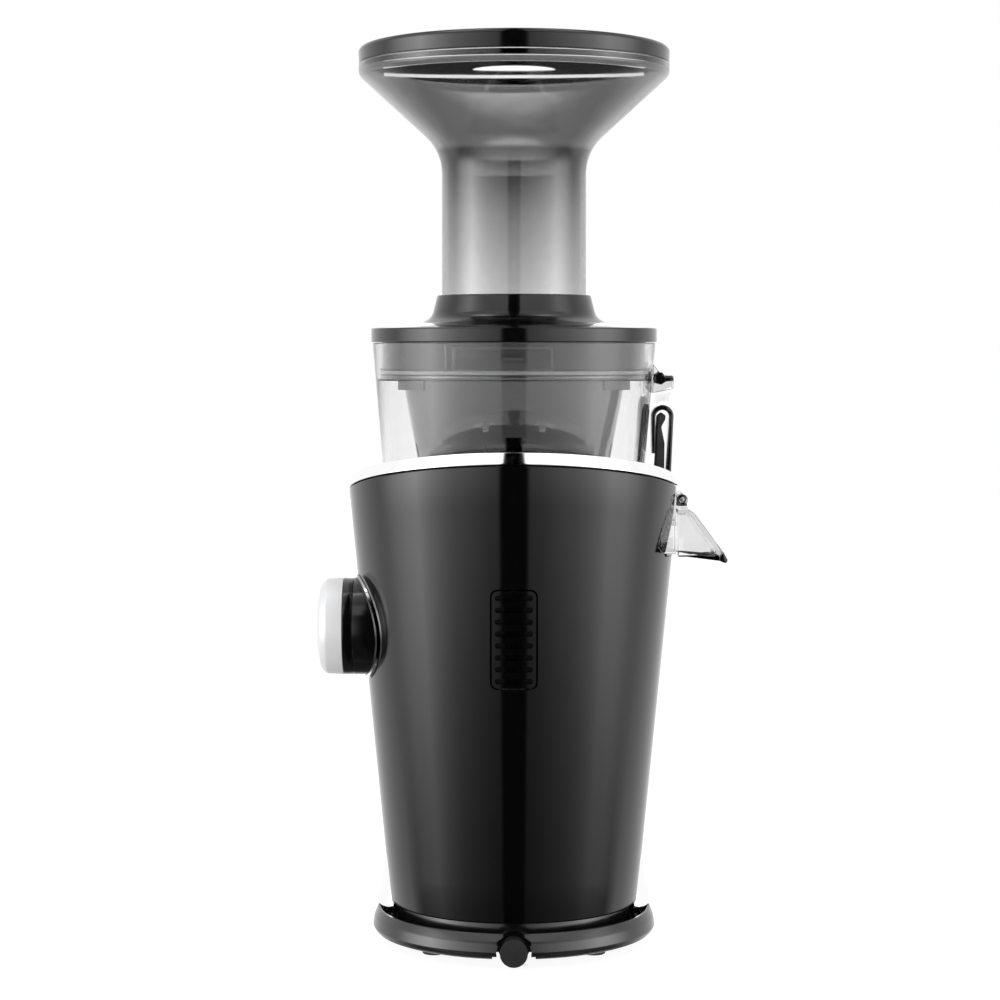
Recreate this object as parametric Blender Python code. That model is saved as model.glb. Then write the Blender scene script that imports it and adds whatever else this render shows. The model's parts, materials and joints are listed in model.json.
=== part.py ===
"""Vertical slow juicer: motor body, gear train, juicing chamber, lid and hopper.

The auger's axis is Z, the juice spout points to -Y, the pulp outlet to -X and the switch knob to +X.
Lengths are in millimetres and become metres as each mesh is made. Z = 0 is the underside of the
bottom cover, whose centre is the origin.
"""
import math

import bmesh
import bpy
from mathutils import Vector

MM = 0.001
TAU = 2 * math.pi
GAP = 0.3

# Motor body: a cone cut off by a plane that falls towards the front.
SHELL_BASE_R = 61.4
SHELL_GROWTH = 0.0975
SHELL_WALL = 2.5
SHELL_BOTTOM = 17.0
SLANT_HEIGHT = 225.0
SLANT_SLOPE = 0.2035
TRIM_HEIGHT = 6.0
NOTCH_BOTTOM = 193.8
NOTCH_HALF_TOP = 21.0
NOTCH_HALF_BOTTOM = 30.0
FOOT_BOTTOM = -2.6
FOOT_CIRCLE = 56.0
SCREW_CIRCLE = 62.5
SCREW_ANGLES = (0.0, 180.0, 270.0)

# Cord gland in the base, at the back.
GLAND_Z = 4.2
GLAND_R = 6.0
CORD_BLOCK_HALF = 10.3

# Vent grille at the back.
VENT_Z = 158.0
VENT_WIDTH = 22.0
VENT_HEIGHT = 48.0
VENT_PITCH = 5.8
VENT_SLOTS = 8

# Switch knob on +X.
KNOB_Y = 12.0
KNOB_Z = 158.0
KNOB_R = 24.6
KNOB_BACK = 80.6
KNOB_SPLIT = 85.5
KNOB_FACE = 98.4

# Motor and gear train: three stages of 12 to 43 teeth.
PINION_TEETH = 12
WHEEL_TEETH = 43
STAGE_MODULES = (0.8, 1.0, 1.25)
IDLER_2_ANGLE = math.radians(200.0)
GEARBOX_R = 58.5
GEARBOX_FLOOR = 95.8
GEARBOX_TOP = 133.0
SHAFT_TOP = 238.0

# Top deck and juicing chamber.
DECK_FLOOR = 189.0
WELL_R = 70.8
CHAMBER_FLOOR = 214.2
CHAMBER_UNDER = 211.0
CHAMBER_TOP = 300.7
CHAMBER_TOP_R = 71.9
CHAMBER_TAPER = 0.0833
CHAMBER_WALL = 3.0
LEDGE_Z = 282.3
DUCT_HALF = 16.0
DUCT_END = -81.6
SPOUT_Z = 225.6
SPOUT_R = 8.8
SPOUT_BORE = 6.6
SPOUT_END = -103.0
CAP_PIVOT_Y = -100.0
CAP_PIVOT_Z = 238.2
HOOD_PIVOT_X = -84.4
HOOD_PIVOT_Z = 222.0
LEVER_PIVOT_X = -73.0
LEVER_PIVOT_Z = 228.0

# Strainers and auger.
STRAINER_R = 56.8
STRAINER_TAPER = 0.193
STRAINER_TOP = 282.0
STRAINER_BOTTOM = 216.0
STRAINER_WALL = 2.0
STRAINER_SLOTS = 12

# Lid and hopper.
LID_R = 72.6
LID_BOTTOM = 301.0
COLLAR_TOP = 324.7
TUBE_R = 36.4
TUBE_WALL = 2.8
RIM_R = 78.6
RIM_BOTTOM = 440.6
RIM_TOP = 449.5
RIM_TILT = 0.02
FEED_HOLE_R = 21.1

# Sides of the round pieces.
SHELL_SIDES = 48
LARGE = 32
INNER = 24
MEDIUM = 16
SMALL = 10


def clear_scene():
    """Remove whatever the file holds, so that the script can run again."""
    for item in list(bpy.data.objects):
        bpy.data.objects.remove(item, do_unlink=True)


def finish(name, color, roughness, metallic=0.0):
    """A Principled material with one colour, made once for each name."""
    if name in bpy.data.materials:
        return bpy.data.materials[name]
    result = bpy.data.materials.new(name)
    result.use_nodes = True
    shader = result.node_tree.nodes["Principled BSDF"]
    shader.inputs["Base Color"].default_value = (*color, 1.0)
    shader.inputs["Roughness"].default_value = roughness
    shader.inputs["Metallic"].default_value = metallic
    return result


def gloss_black():
    return finish("gloss_black", (0.012, 0.012, 0.013), 0.18)


def satin_black():
    return finish("satin_black", (0.02, 0.02, 0.021), 0.4)


def base_grey():
    return finish("base_grey", (0.03, 0.03, 0.032), 0.38)


def silver():
    return finish("silver", (0.82, 0.82, 0.83), 0.3, 0.6)


def clear_smoke():
    return finish("clear_smoke", (0.55, 0.55, 0.56), 0.08)


def dark_smoke():
    return finish("dark_smoke", (0.2, 0.2, 0.2), 0.12)


def rubber():
    return finish("rubber", (0.025, 0.025, 0.025), 0.8)


def silicone():
    return finish("silicone", (0.35, 0.35, 0.36), 0.6)


def steel():
    return finish("steel", (0.6, 0.6, 0.62), 0.35, 1.0)


def zinc():
    return finish("zinc", (0.5, 0.51, 0.52), 0.45, 1.0)


def copper():
    return finish("copper", (0.72, 0.33, 0.16), 0.4, 1.0)


def gear_plastic():
    return finish("gear_plastic", (0.85, 0.83, 0.76), 0.5)


def board_green():
    return finish("board_green", (0.03, 0.2, 0.09), 0.5)


def auger_plastic():
    return finish("auger_plastic", (0.05, 0.05, 0.055), 0.35)


def along(axis, across, up, depth):
    """Turn a point of a flat outline, and its depth, into a point in space."""
    if axis == "X":
        return (depth, across, up)
    if axis == "Y":
        return (across, depth, up)
    return (across, up, depth)


def build(name, points, faces, material):
    """Make one closed object from points in millimetres."""
    mesh = bpy.data.meshes.new(name)
    mesh.from_pydata([Vector(point) * MM for point in points], [], faces)
    work = bmesh.new()
    work.from_mesh(mesh)
    bmesh.ops.recalc_face_normals(work, faces=work.faces)
    work.to_mesh(mesh)
    work.free()
    mesh.materials.append(material)
    mesh.shade_smooth()
    mesh.set_sharp_from_angle(angle=math.radians(35))
    made = bpy.data.objects.new(name, mesh)
    bpy.context.collection.objects.link(made)
    return made


def turned(name, section, material, steps=LARGE, start=0.0, sweep=TAU, axis="Z"):
    """Turn a closed (radius, height) outline about an axis, all round or over part of a turn.

    The section is a list, or a function of the angle that returns one. In a list, a radius of 0
    lies on the axis. A whole turn starts half a step round, so that no column of points lies on
    the X or Y axis, where bores and notches are cut.
    """
    whole = abs(sweep - TAU) < 1e-9
    columns = steps if whole else steps + 1
    start += sweep / steps / 2 if whole else 0.0
    points = []
    poles = {}
    index = []
    for column in range(columns):
        angle = start + sweep * column / steps
        outline = section(angle) if callable(section) else section
        row = []
        for place, (radius, height) in enumerate(outline):
            if radius == 0 and place in poles:
                row.append(poles[place])
                continue
            if radius == 0:
                poles[place] = len(points)
            row.append(len(points))
            points.append(along(axis, radius * math.cos(angle), radius * math.sin(angle), height))
        index.append(row)
    faces = []
    for column in range(steps):
        here = index[column]
        after = index[(column + 1) % columns]
        for place in range(len(here)):
            following = (place + 1) % len(here)
            corners = (here[place], here[following], after[following], after[place])
            face = list(dict.fromkeys(corners))
            if len(face) > 2:
                faces.append(face)
    if not whole:
        faces.append(index[0])
        faces.append(index[-1][::-1])
    return build(name, points, faces, material)


def extruded(name, outline, low, high, material, axis="Z"):
    """Push a flat outline from one depth to another."""
    count = len(outline)
    points = [along(axis, a, b, low) for a, b in outline]
    points += [along(axis, a, b, high) for a, b in outline]
    faces = [list(range(count))[::-1], list(range(count, 2 * count))]
    for place in range(count):
        following = (place + 1) % count
        faces.append([place, following, following + count, place + count])
    return build(name, points, faces, material)


def block(name, low, high, material):
    """A box from its lowest to its highest corner."""
    outline = [(low[0], low[1]), (high[0], low[1]), (high[0], high[1]), (low[0], high[1])]
    return extruded(name, outline, low[2], high[2], material)


def round_bar(name, centre, radius, low, high, material, axis="Z", steps=SMALL):
    """A plain cylinder, its axis through the given pair of coordinates."""
    outline = arc(centre, radius, 0.0, TAU * (steps - 1) / steps, steps)
    return extruded(name, outline, low, high, material, axis)


def arc(centre, radius, start, end, count):
    """Points along a circle, both ends included."""
    step = (end - start) / (count - 1)
    angles = [start + step * place for place in range(count)]
    return [(centre[0] + radius * math.cos(a), centre[1] + radius * math.sin(a)) for a in angles]


def rounded_rectangle(centre, width, height, radius):
    """A rectangle's outline with rounded corners."""
    corners = ((1, 1, 0), (-1, 1, 1), (-1, -1, 2), (1, -1, 3))
    outline = []
    for side, top, quarter in corners:
        middle = (centre[0] + side * (width / 2 - radius), centre[1] + top * (height / 2 - radius))
        outline += arc(middle, radius, quarter * TAU / 4, (quarter + 1) * TAU / 4, 4)
    return outline


def combine(target, tool, operation):
    """Cut, join or trim the target with a tool, which stays in the file as a wire guide."""
    modifier = target.modifiers.new(tool.name, "BOOLEAN")
    modifier.operation = operation
    modifier.solver = "EXACT"
    modifier.object = tool
    tool.hide_render = True
    tool.display_type = "WIRE"


def cut(target, *tools):
    for tool in tools:
        combine(target, tool, "DIFFERENCE")


def join(target, *tools):
    for tool in tools:
        combine(target, tool, "UNION")


def shell_r(height):
    """Outer radius of the motor body at a height."""
    return SHELL_BASE_R + SHELL_GROWTH * height


def slant(radius, angle):
    """Height of the slanted rim plane at a place."""
    return SLANT_HEIGHT + SLANT_SLOPE * radius * math.sin(angle)


def cone_meets_slant(offset, angle):
    """Radius and height at which the body's cone, moved in or out, meets the rim plane."""
    rise = SLANT_SLOPE * math.sin(angle)
    height = (SLANT_HEIGHT + rise * (SHELL_BASE_R + offset)) / (1 - rise * SHELL_GROWTH)
    return shell_r(height) + offset, height


def chamber_r(height):
    """Outer radius of the juicing chamber at a height."""
    return CHAMBER_TOP_R - (CHAMBER_TOP - height) * CHAMBER_TAPER


def strainer_r(height):
    """Outer radius of the outer strainer at a height."""
    return STRAINER_R - (STRAINER_TOP - height) * STRAINER_TAPER


def body_cone(name, offset, low, high):
    """A solid cone that follows the body's outside at an offset, used as a cutting tool."""
    section = [(0, low), (shell_r(low) + offset, low), (shell_r(high) + offset, high), (0, high)]
    return turned(name, section, gloss_black(), steps=SHELL_SIDES)


def make_base_ring():
    section = [
        (67.4, 2.4), (70.9, 2.4), (72.0, 5.0), (71.2, 9.4), (69.3, 13.6), (60.2, 13.6),
        (60.2, 22.0), (57.8, 22.0), (57.8, 11.2), (67.4, 11.2),
    ]
    ring = turned("base_ring", section, base_grey())
    for place, degrees in enumerate(SCREW_ANGLES):
        angle = math.radians(degrees)
        centre = (SCREW_CIRCLE * math.cos(angle), SCREW_CIRCLE * math.sin(angle))
        join(ring, round_bar(f"guide_boss_{place}", centre, 4.2, 3.8, 12.0, base_grey()))
        cut(ring, round_bar(f"guide_boss_bore_{place}", centre, 1.9, 3.0, 10.6, base_grey()))
    cut(ring, round_bar("guide_gland_gap", (0, GLAND_Z), 8.6, 50, 80, base_grey(), "Y", MEDIUM))
    cut(ring, block("guide_gland_slot", (-5.2, 62, 8), (5.2, 80, 16), base_grey()))


def make_bottom_cover():
    section = [
        (0, 0), (46.0, 0), (46.5, 0.6), (67.5, 0.6), (69.8, 1.5), (69.8, 2.1), (66.8, 2.1),
        (66.8, 3.5), (0, 3.5),
    ]
    cover = turned("bottom_cover", section, satin_black())
    low = (-CORD_BLOCK_HALF - GAP, 51.5, -5)
    cut(cover, block("guide_cord_pocket", low, (CORD_BLOCK_HALF + GAP, 80, 10), rubber()))
    for place, degrees in enumerate(SCREW_ANGLES):
        angle = math.radians(degrees)
        centre = (SCREW_CIRCLE * math.cos(angle), SCREW_CIRCLE * math.sin(angle))
        cut(cover, round_bar(f"guide_cover_bore_{place}", centre, 2.1, -5, 10, steel()))
    for place in range(4):
        angle = TAU * (place + 0.5) / 4
        centre = (FOOT_CIRCLE * math.cos(angle), FOOT_CIRCLE * math.sin(angle))
        cut(cover, round_bar(f"guide_foot_bore_{place}", centre, 3.2, -5, 10, rubber()))


def make_feet():
    """Four rubber feet with stems that push into the bottom cover."""
    section = [(0, FOOT_BOTTOM), (7.2, FOOT_BOTTOM), (7.8, 0.3), (2.8, 0.3), (2.8, 5.0), (0, 5.0)]
    for place in range(4):
        angle = TAU * (place + 0.5) / 4
        foot = turned(f"foot_{place + 1}", section, rubber(), steps=SMALL)
        foot.location = (FOOT_CIRCLE * math.cos(angle) * MM, FOOT_CIRCLE * math.sin(angle) * MM, 0)


def make_cover_screws():
    section = [(0, -1.3), (2.6, -1.3), (3.3, 0.3), (1.6, 0.3), (1.6, 9.8), (0, 9.8)]
    for place, degrees in enumerate(SCREW_ANGLES):
        angle = math.radians(degrees)
        screw = turned(f"cover_screw_{place + 1}", section, steel(), steps=SMALL)
        screw.location = (SCREW_CIRCLE * math.cos(angle) * MM, SCREW_CIRCLE * math.sin(angle) * MM, 0)


def make_cord_block():
    """The block that holds the cord gland, with a chamfered mouth to the back."""
    outline = arc((0, GLAND_Z), 8.3, math.radians(-40), math.radians(220), 14)
    outline += [(-CORD_BLOCK_HALF, 0.8), (-CORD_BLOCK_HALF, FOOT_BOTTOM + 1.0), (-9.4, FOOT_BOTTOM + 0.2)]
    outline += [(9.4, FOOT_BOTTOM + 0.2), (CORD_BLOCK_HALF, FOOT_BOTTOM + 1.0), (CORD_BLOCK_HALF, 0.8)]
    outline = [point for point in outline if point[1] > -2.5]
    piece = extruded("cord_block", outline, 56.0, 70.6, base_grey(), "Y")
    section = [(0, 50.0), (GLAND_R + GAP, 50.0), (GLAND_R + GAP, 69.4), (7.6, 70.9), (0, 70.9)]
    bore = turned("guide_gland_bore", section, rubber(), steps=MEDIUM, axis="Y")
    bore.location.z = GLAND_Z * MM
    cut(piece, bore)


def make_cord_gland():
    section = [
        (2.6, 52.5), (8.0, 52.5), (8.0, 55.6), (GLAND_R, 55.6), (GLAND_R, 71.2), (5.2, 72.2),
        (2.6, 72.2),
    ]
    gland = turned("cord_gland", section, rubber(), steps=MEDIUM, axis="Y")
    gland.location.z = GLAND_Z * MM


def make_front_apron():
    """The silver skirt round the front half of the body's foot."""
    low = 14.0
    high = 42.0
    levels = 5

    def section(angle):
        outer = []
        inner = []
        for level in range(levels):
            part = level / (levels - 1)
            height = low + (high - low) * part
            flare = 6.6 * (1 - part) ** 1.6
            radius = shell_r(height) + GAP
            outer.append((radius + 1.4 + flare, height))
            inner.append((max(radius, radius + flare - 1.0), height))
        return outer + inner[::-1]

    turned("front_apron", section, silver(), steps=22, start=math.pi, sweep=math.pi)


def make_body_shell():
    def section(angle):
        outer_r, outer_z = cone_meets_slant(0.0, angle)
        inner_r, inner_z = cone_meets_slant(-SHELL_WALL, angle)
        return [
            (shell_r(SHELL_BOTTOM), SHELL_BOTTOM), (outer_r, outer_z), (inner_r, inner_z),
            (shell_r(SHELL_BOTTOM) - SHELL_WALL, SHELL_BOTTOM),
        ]

    shell = turned("body_shell", section, gloss_black(), steps=SHELL_SIDES)
    notch = [
        (-NOTCH_HALF_BOTTOM, NOTCH_BOTTOM), (NOTCH_HALF_BOTTOM, NOTCH_BOTTOM),
        (NOTCH_HALF_TOP, 215.0), (NOTCH_HALF_TOP, 260.0), (-NOTCH_HALF_TOP, 260.0),
        (-NOTCH_HALF_TOP, 215.0),
    ]
    cut(shell, extruded("guide_shell_notch", notch, -100, -50, gloss_black(), "X"))
    cut(shell, round_bar("guide_knob_bore", (KNOB_Y, KNOB_Z), 5.0, 60, 90, gloss_black(), "X"))
    outline = rounded_rectangle((0, VENT_Z), VENT_WIDTH, VENT_HEIGHT, 3.5)
    cut(shell, extruded("guide_vent_pocket", outline, 50, 95, gloss_black(), "Y"))


def make_vent_grille():
    """A curved plate with louvre slots, which fills the pocket at the back."""
    low = VENT_Z - VENT_HEIGHT / 2 - 2
    high = VENT_Z + VENT_HEIGHT / 2 + 2
    section = [
        (shell_r(low) - 0.2, low), (shell_r(high) - 0.2, high), (shell_r(high) - 2.4, high),
        (shell_r(low) - 2.4, low),
    ]
    half = math.radians(12)
    grille = turned("vent_grille", section, satin_black(), steps=8, start=TAU / 4 - half, sweep=2 * half)
    outline = rounded_rectangle((0, VENT_Z), VENT_WIDTH - 2 * GAP, VENT_HEIGHT - 2 * GAP, 3.2)
    combine(grille, extruded("guide_vent_outline", outline, 50, 95, satin_black(), "Y"), "INTERSECT")
    for place in range(VENT_SLOTS):
        middle = VENT_Z + (place - (VENT_SLOTS - 1) / 2) * VENT_PITCH
        slot = block(f"guide_louvre_{place}", (-7.6, 60, middle - 1.3), (7.6, 90, middle + 1.3), rubber())
        cut(grille, slot)


def make_trim_ring():
    """The silver rim on the body, open where the pulp outlet passes."""
    def section(angle):
        outer_r, outer_z = cone_meets_slant(0.9, angle)
        inner_z = slant(75.5, angle)
        return [
            (outer_r, outer_z + GAP), (outer_r + 0.2, outer_z + TRIM_HEIGHT - 1.4),
            (outer_r - 0.9, outer_z + TRIM_HEIGHT), (75.5, inner_z + TRIM_HEIGHT),
            (75.5, inner_z + GAP),
        ]

    half = math.asin(NOTCH_HALF_TOP / 83.0)
    turned("trim_ring", section, silver(), steps=44, start=half - math.pi, sweep=TAU - 2 * half)


def make_top_deck():
    """The well that the chamber drops into, with a boss round the drive shaft."""
    def section(angle):
        flange_r, flange_z = cone_meets_slant(-SHELL_WALL - 2.5 * GAP, angle)
        return [
            (11.0, 203.5), (16.5, 203.5), (18.8, 186.0), (73.0, 186.0),
            (73.0, slant(73.0, angle) - 3.2), (flange_r, flange_z - 3.2), (flange_r, flange_z),
            (WELL_R, slant(WELL_R, angle)), (WELL_R, DECK_FLOOR), (22.0, DECK_FLOOR),
            (20.5, 207.0), (11.0, 207.0),
        ]

    deck = turned("top_deck", section, satin_black())
    cut(deck, block("guide_deck_notch", (-95, -17.5, DECK_FLOOR + 1.5), (-60, 17.5, 260), satin_black()))


def make_shaft_seal():
    section = [(8.8, 204.2), (10.7, 204.2), (10.7, 209.0), (9.4, 210.3), (8.6, 210.3), (9.6, 208.0)]
    turned("shaft_seal", section, silicone(), steps=MEDIUM)


def idler_places():
    """Axes of the two idlers, so that each stage's pitch circles touch."""
    reach = [module * (PINION_TEETH + WHEEL_TEETH) / 2 for module in STAGE_MODULES]
    near, between, far = reach
    swing = math.acos((far ** 2 + near ** 2 - between ** 2) / (2 * far * near))
    second = (far * math.cos(IDLER_2_ANGLE), far * math.sin(IDLER_2_ANGLE))
    first_angle = IDLER_2_ANGLE + swing
    first = (near * math.cos(first_angle), near * math.sin(first_angle))
    return first, second


def gear_outline(teeth, module, towards, gap_first):
    """Outline of a spur gear with a tooth, or a gap, on the given heading."""
    pitch_r = module * teeth / 2
    base_r = pitch_r * math.cos(math.radians(20))
    tip_r = pitch_r + module * 0.9
    root_r = pitch_r - module * 1.2

    def half_angle(radius):
        pressure = math.acos(min(1.0, base_r / max(radius, base_r)))
        swell = math.tan(pressure) - pressure
        straight = math.tan(math.radians(20)) - math.radians(20)
        return TAU / (4 * teeth) - 0.09 * module / pitch_r + straight - swell

    levels = [root_r, pitch_r, tip_r] if teeth < 20 else [root_r, tip_r]
    outline = []
    for tooth in range(teeth):
        middle = towards + TAU * (tooth + (0.5 if gap_first else 0.0)) / teeth
        for radius in levels:
            angle = middle - half_angle(radius)
            outline.append((radius * math.cos(angle), radius * math.sin(angle)))
        for radius in reversed(levels):
            angle = middle + half_angle(radius)
            outline.append((radius * math.cos(angle), radius * math.sin(angle)))
    return outline


def heading(start, end):
    return math.atan2(end[1] - start[1], end[0] - start[0])


def make_idler(name, stage, centre, driver, driven, wheel_z, pinion_top):
    """A compound gear: the wheel of one stage with the pinion of the next."""
    low, high = wheel_z
    wheel_outline = gear_outline(WHEEL_TEETH, STAGE_MODULES[stage], heading(centre, driver), True)
    wheel = extruded(name, wheel_outline, low, high, gear_plastic())
    pinion_outline = gear_outline(PINION_TEETH, STAGE_MODULES[stage + 1], heading(centre, driven), False)
    pinion = extruded(f"guide_{name}_pinion", pinion_outline, high - 1.5, pinion_top, gear_plastic())
    bore = round_bar(f"guide_{name}_bore", (0, 0), 2.6, low - 1, pinion_top + 1, steel(), steps=16)
    for item in (wheel, pinion, bore):
        item.location = (centre[0] * MM, centre[1] * MM, 0)
    join(wheel, pinion)
    cut(wheel, bore)


def make_gear_train():
    middle = (0.0, 0.0)
    first, second = idler_places()
    make_idler("idler_gear_1", 0, first, middle, second, (100.5, 107.5), 118.0)
    make_idler("idler_gear_2", 1, second, first, middle, (109.5, 117.0), 131.0)
    outline = gear_outline(PINION_TEETH, STAGE_MODULES[0], heading(middle, first), False)
    join(bpy.data.objects["rotor"], extruded("guide_motor_pinion", outline, 99.9, 108.2, steel()))
    outline = gear_outline(WHEEL_TEETH, STAGE_MODULES[2], heading(middle, second), True)
    output = extruded("output_gear", outline, 119.5, 129.5, gear_plastic())
    cut(output, round_bar("guide_output_bore", middle, 8.3, 110, 140, steel(), steps=MEDIUM))
    for place, centre, top in ((1, first, 118.9), (2, second, GEARBOX_TOP + 1.5)):
        pin = round_bar(f"idler_pin_{place}", middle, 2.3, GEARBOX_FLOOR + 1.0, top, steel())
        pin.location = (centre[0] * MM, centre[1] * MM, 0)


def make_drive_shaft():
    """Round where it runs in the gearbox, hexagonal where the auger slips over it."""
    section = [(0, 118.6), (8.0, 118.6), (8.0, 213.0), (0, 213.0)]
    shaft = turned("drive_shaft", section, steel(), steps=MEDIUM)
    hexagon = arc((0, 0), 7.8, 0.0, TAU * 5 / 6, 6)
    join(shaft, extruded("guide_shaft_hexagon", hexagon, 205.0, SHAFT_TOP, steel()))


def make_gearbox():
    first, second = idler_places()
    section = [
        (0, GEARBOX_FLOOR), (GEARBOX_R + 2.5, GEARBOX_FLOOR), (GEARBOX_R + 2.5, GEARBOX_TOP),
        (GEARBOX_R, GEARBOX_TOP), (GEARBOX_R, GEARBOX_FLOOR + 3.0), (0, GEARBOX_FLOOR + 3.0),
    ]
    base = turned("gearbox_base", section, zinc(), steps=INNER)
    cut(base, round_bar("guide_motor_shaft_hole", (0, 0), 4.5, 90, 110, steel(), steps=MEDIUM))
    for place, centre in ((1, first), (2, second)):
        cut(base, round_bar(f"guide_pin_seat_{place}", centre, 2.6, GEARBOX_FLOOR + 0.7, 110, steel()))
    low = GEARBOX_TOP + GAP
    section = [
        (16.0, low), (GEARBOX_R + 2.5, low), (GEARBOX_R + 2.5, low + 3.0), (19.0, low + 3.0),
        (19.0, 156.0), (16.0, 156.0),
    ]
    cover = turned("gearbox_cover", section, zinc(), steps=INNER)
    cut(cover, round_bar("guide_pin_seat_top", second, 2.6, 130, GEARBOX_TOP + 1.8, steel()))
    section = [(8.4, 131.5), (15.7, 131.5), (15.7, 155.8), (8.4, 155.8)]
    turned("output_bush", section, finish("bronze", (0.55, 0.36, 0.16), 0.4, 1.0), steps=MEDIUM)


def make_motor():
    section = [(23.4, 34.0), (41.0, 34.0), (41.0, 74.0), (23.4, 74.0)]
    turned("stator_core", section, steel(), steps=INNER)
    for name, low, high in (("winding_bottom", 29.0, 33.7), ("winding_top", 74.3, 83.5)):
        section = [(26.0, low), (38.0, low), (38.0, high), (26.0, high)]
        turned(name, section, copper(), steps=MEDIUM)
    section = [
        (0, 10.0), (4.0, 10.0), (4.0, 34.0), (22.8, 34.0), (22.8, 74.0), (4.0, 74.0), (4.0, 97.0),
        (2.2, 98.0), (2.2, 109.5), (0, 109.5),
    ]
    turned("rotor", section, steel(), steps=MEDIUM)
    plates = (("motor_bottom_bracket", 57.2, 13.0, 11.2, 18.4), ("motor_top_bracket", 44.0, 86.0, 85.0, 92.4))
    for name, radius, floor, low, high in plates:
        section = [
            (6.6, low), (9.6, low), (9.6, floor), (radius, floor), (radius, floor + 2.5),
            (9.6, floor + 2.5), (9.6, high), (6.6, high),
        ]
        bracket = turned(name, section, zinc(), steps=INNER)
        for place in range(4):
            angle = TAU * (place + 0.5) / 4
            centre = (30 * math.cos(angle), 30 * math.sin(angle))
            cut(bracket, round_bar(f"guide_{name}_{place}", centre, 7.5, floor - 5, floor + 9, zinc()))
    for name, low in (("motor_bearing_lower", 11.6), ("motor_bearing_upper", 85.4)):
        section = [(4.3, low), (6.3, low), (6.3, low + 6.4), (4.3, low + 6.4)]
        turned(name, section, steel(), steps=MEDIUM)


def make_fan():
    """Straight radial blades on a hub, under the stator."""
    blades = 9
    outline = []
    for place in range(blades):
        middle = TAU * place / blades
        outline += [(8 * math.cos(middle - 0.3), 8 * math.sin(middle - 0.3))]
        for side in (-1, 1):
            for radius in ((9.5, 36.0) if side < 0 else (36.0, 9.5)):
                angle = middle + side * 0.9 / radius
                outline.append((radius * math.cos(angle), radius * math.sin(angle)))
    fan = extruded("cooling_fan", outline, 20.0, 28.0, satin_black())
    cut(fan, round_bar("guide_fan_bore", (0, 0), 4.3, 10, 40, steel(), steps=MEDIUM))


def make_electrics():
    board = block("control_board", (-53.6, -24.0, 34.0), (-52.0, 24.0, 82.0), board_green())
    parts = (
        ((-52.2, -20, 38), (-46.5, -8, 52)), ((-52.2, -4, 36), (-47.5, 6, 44)),
        ((-52.2, 10, 40), (-48.0, 20, 60)), ((-52.2, -18, 60), (-49.5, -2, 74)),
    )
    for place, (low, high) in enumerate(parts):
        join(board, block(f"guide_board_part_{place}", low, high, satin_black()))
    switch = block("switch_body", (48.0, KNOB_Y - 10.0, 146.0), (68.8, KNOB_Y + 10.0, 170.0), satin_black())
    cut(switch, round_bar("guide_switch_bore", (KNOB_Y, KNOB_Z), 3.5, 58, 80, steel(), "X"))


def make_knob():
    """The turning switch knob, the fixed collar behind it and the thin bezel on the body."""
    section = [
        (0, 59.0), (3.1, 59.0), (3.1, KNOB_BACK), (KNOB_R, KNOB_BACK), (KNOB_R, KNOB_SPLIT - 0.2),
        (20.0, KNOB_SPLIT - 0.2), (12.0, 94.5), (0, 94.5),
    ]
    body = turned("knob_body", section, satin_black(), steps=INNER, axis="X")
    section = [
        (0, 95.0), (12.5, 95.0), (22.4, KNOB_SPLIT + 0.6), (22.4, KNOB_SPLIT + 0.1),
        (KNOB_R, KNOB_SPLIT + 0.1), (KNOB_R - 0.6, KNOB_FACE - 1.0), (KNOB_R - 1.6, KNOB_FACE),
        (0, KNOB_FACE),
    ]
    cap = turned("knob_cap", section, silver(), steps=INNER, axis="X")
    section = [(21.6, 60.0), (KNOB_R, 60.0), (KNOB_R, KNOB_BACK - GAP), (21.6, KNOB_BACK - GAP)]
    collar = turned("knob_collar", section, satin_black(), steps=INNER, axis="X")
    cut(collar, body_cone("guide_collar_saddle", GAP, 120, 200))
    section = [(KNOB_R + 0.4, 60.0), (KNOB_R + 2.0, 60.0), (KNOB_R + 2.0, 90.0), (KNOB_R + 0.4, 90.0)]
    bezel = turned("knob_bezel", section, silver(), steps=INNER, axis="X")
    combine(bezel, body_cone("guide_bezel_outer", 1.5, 120, 200), "INTERSECT")
    cut(bezel, body_cone("guide_bezel_saddle", GAP, 110, 210))
    for item in (body, cap, collar, bezel):
        item.location = Vector((0, KNOB_Y, KNOB_Z)) * MM
    hang((body, cap), "power_knob_axis", (0, KNOB_Y, KNOB_Z))


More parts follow.
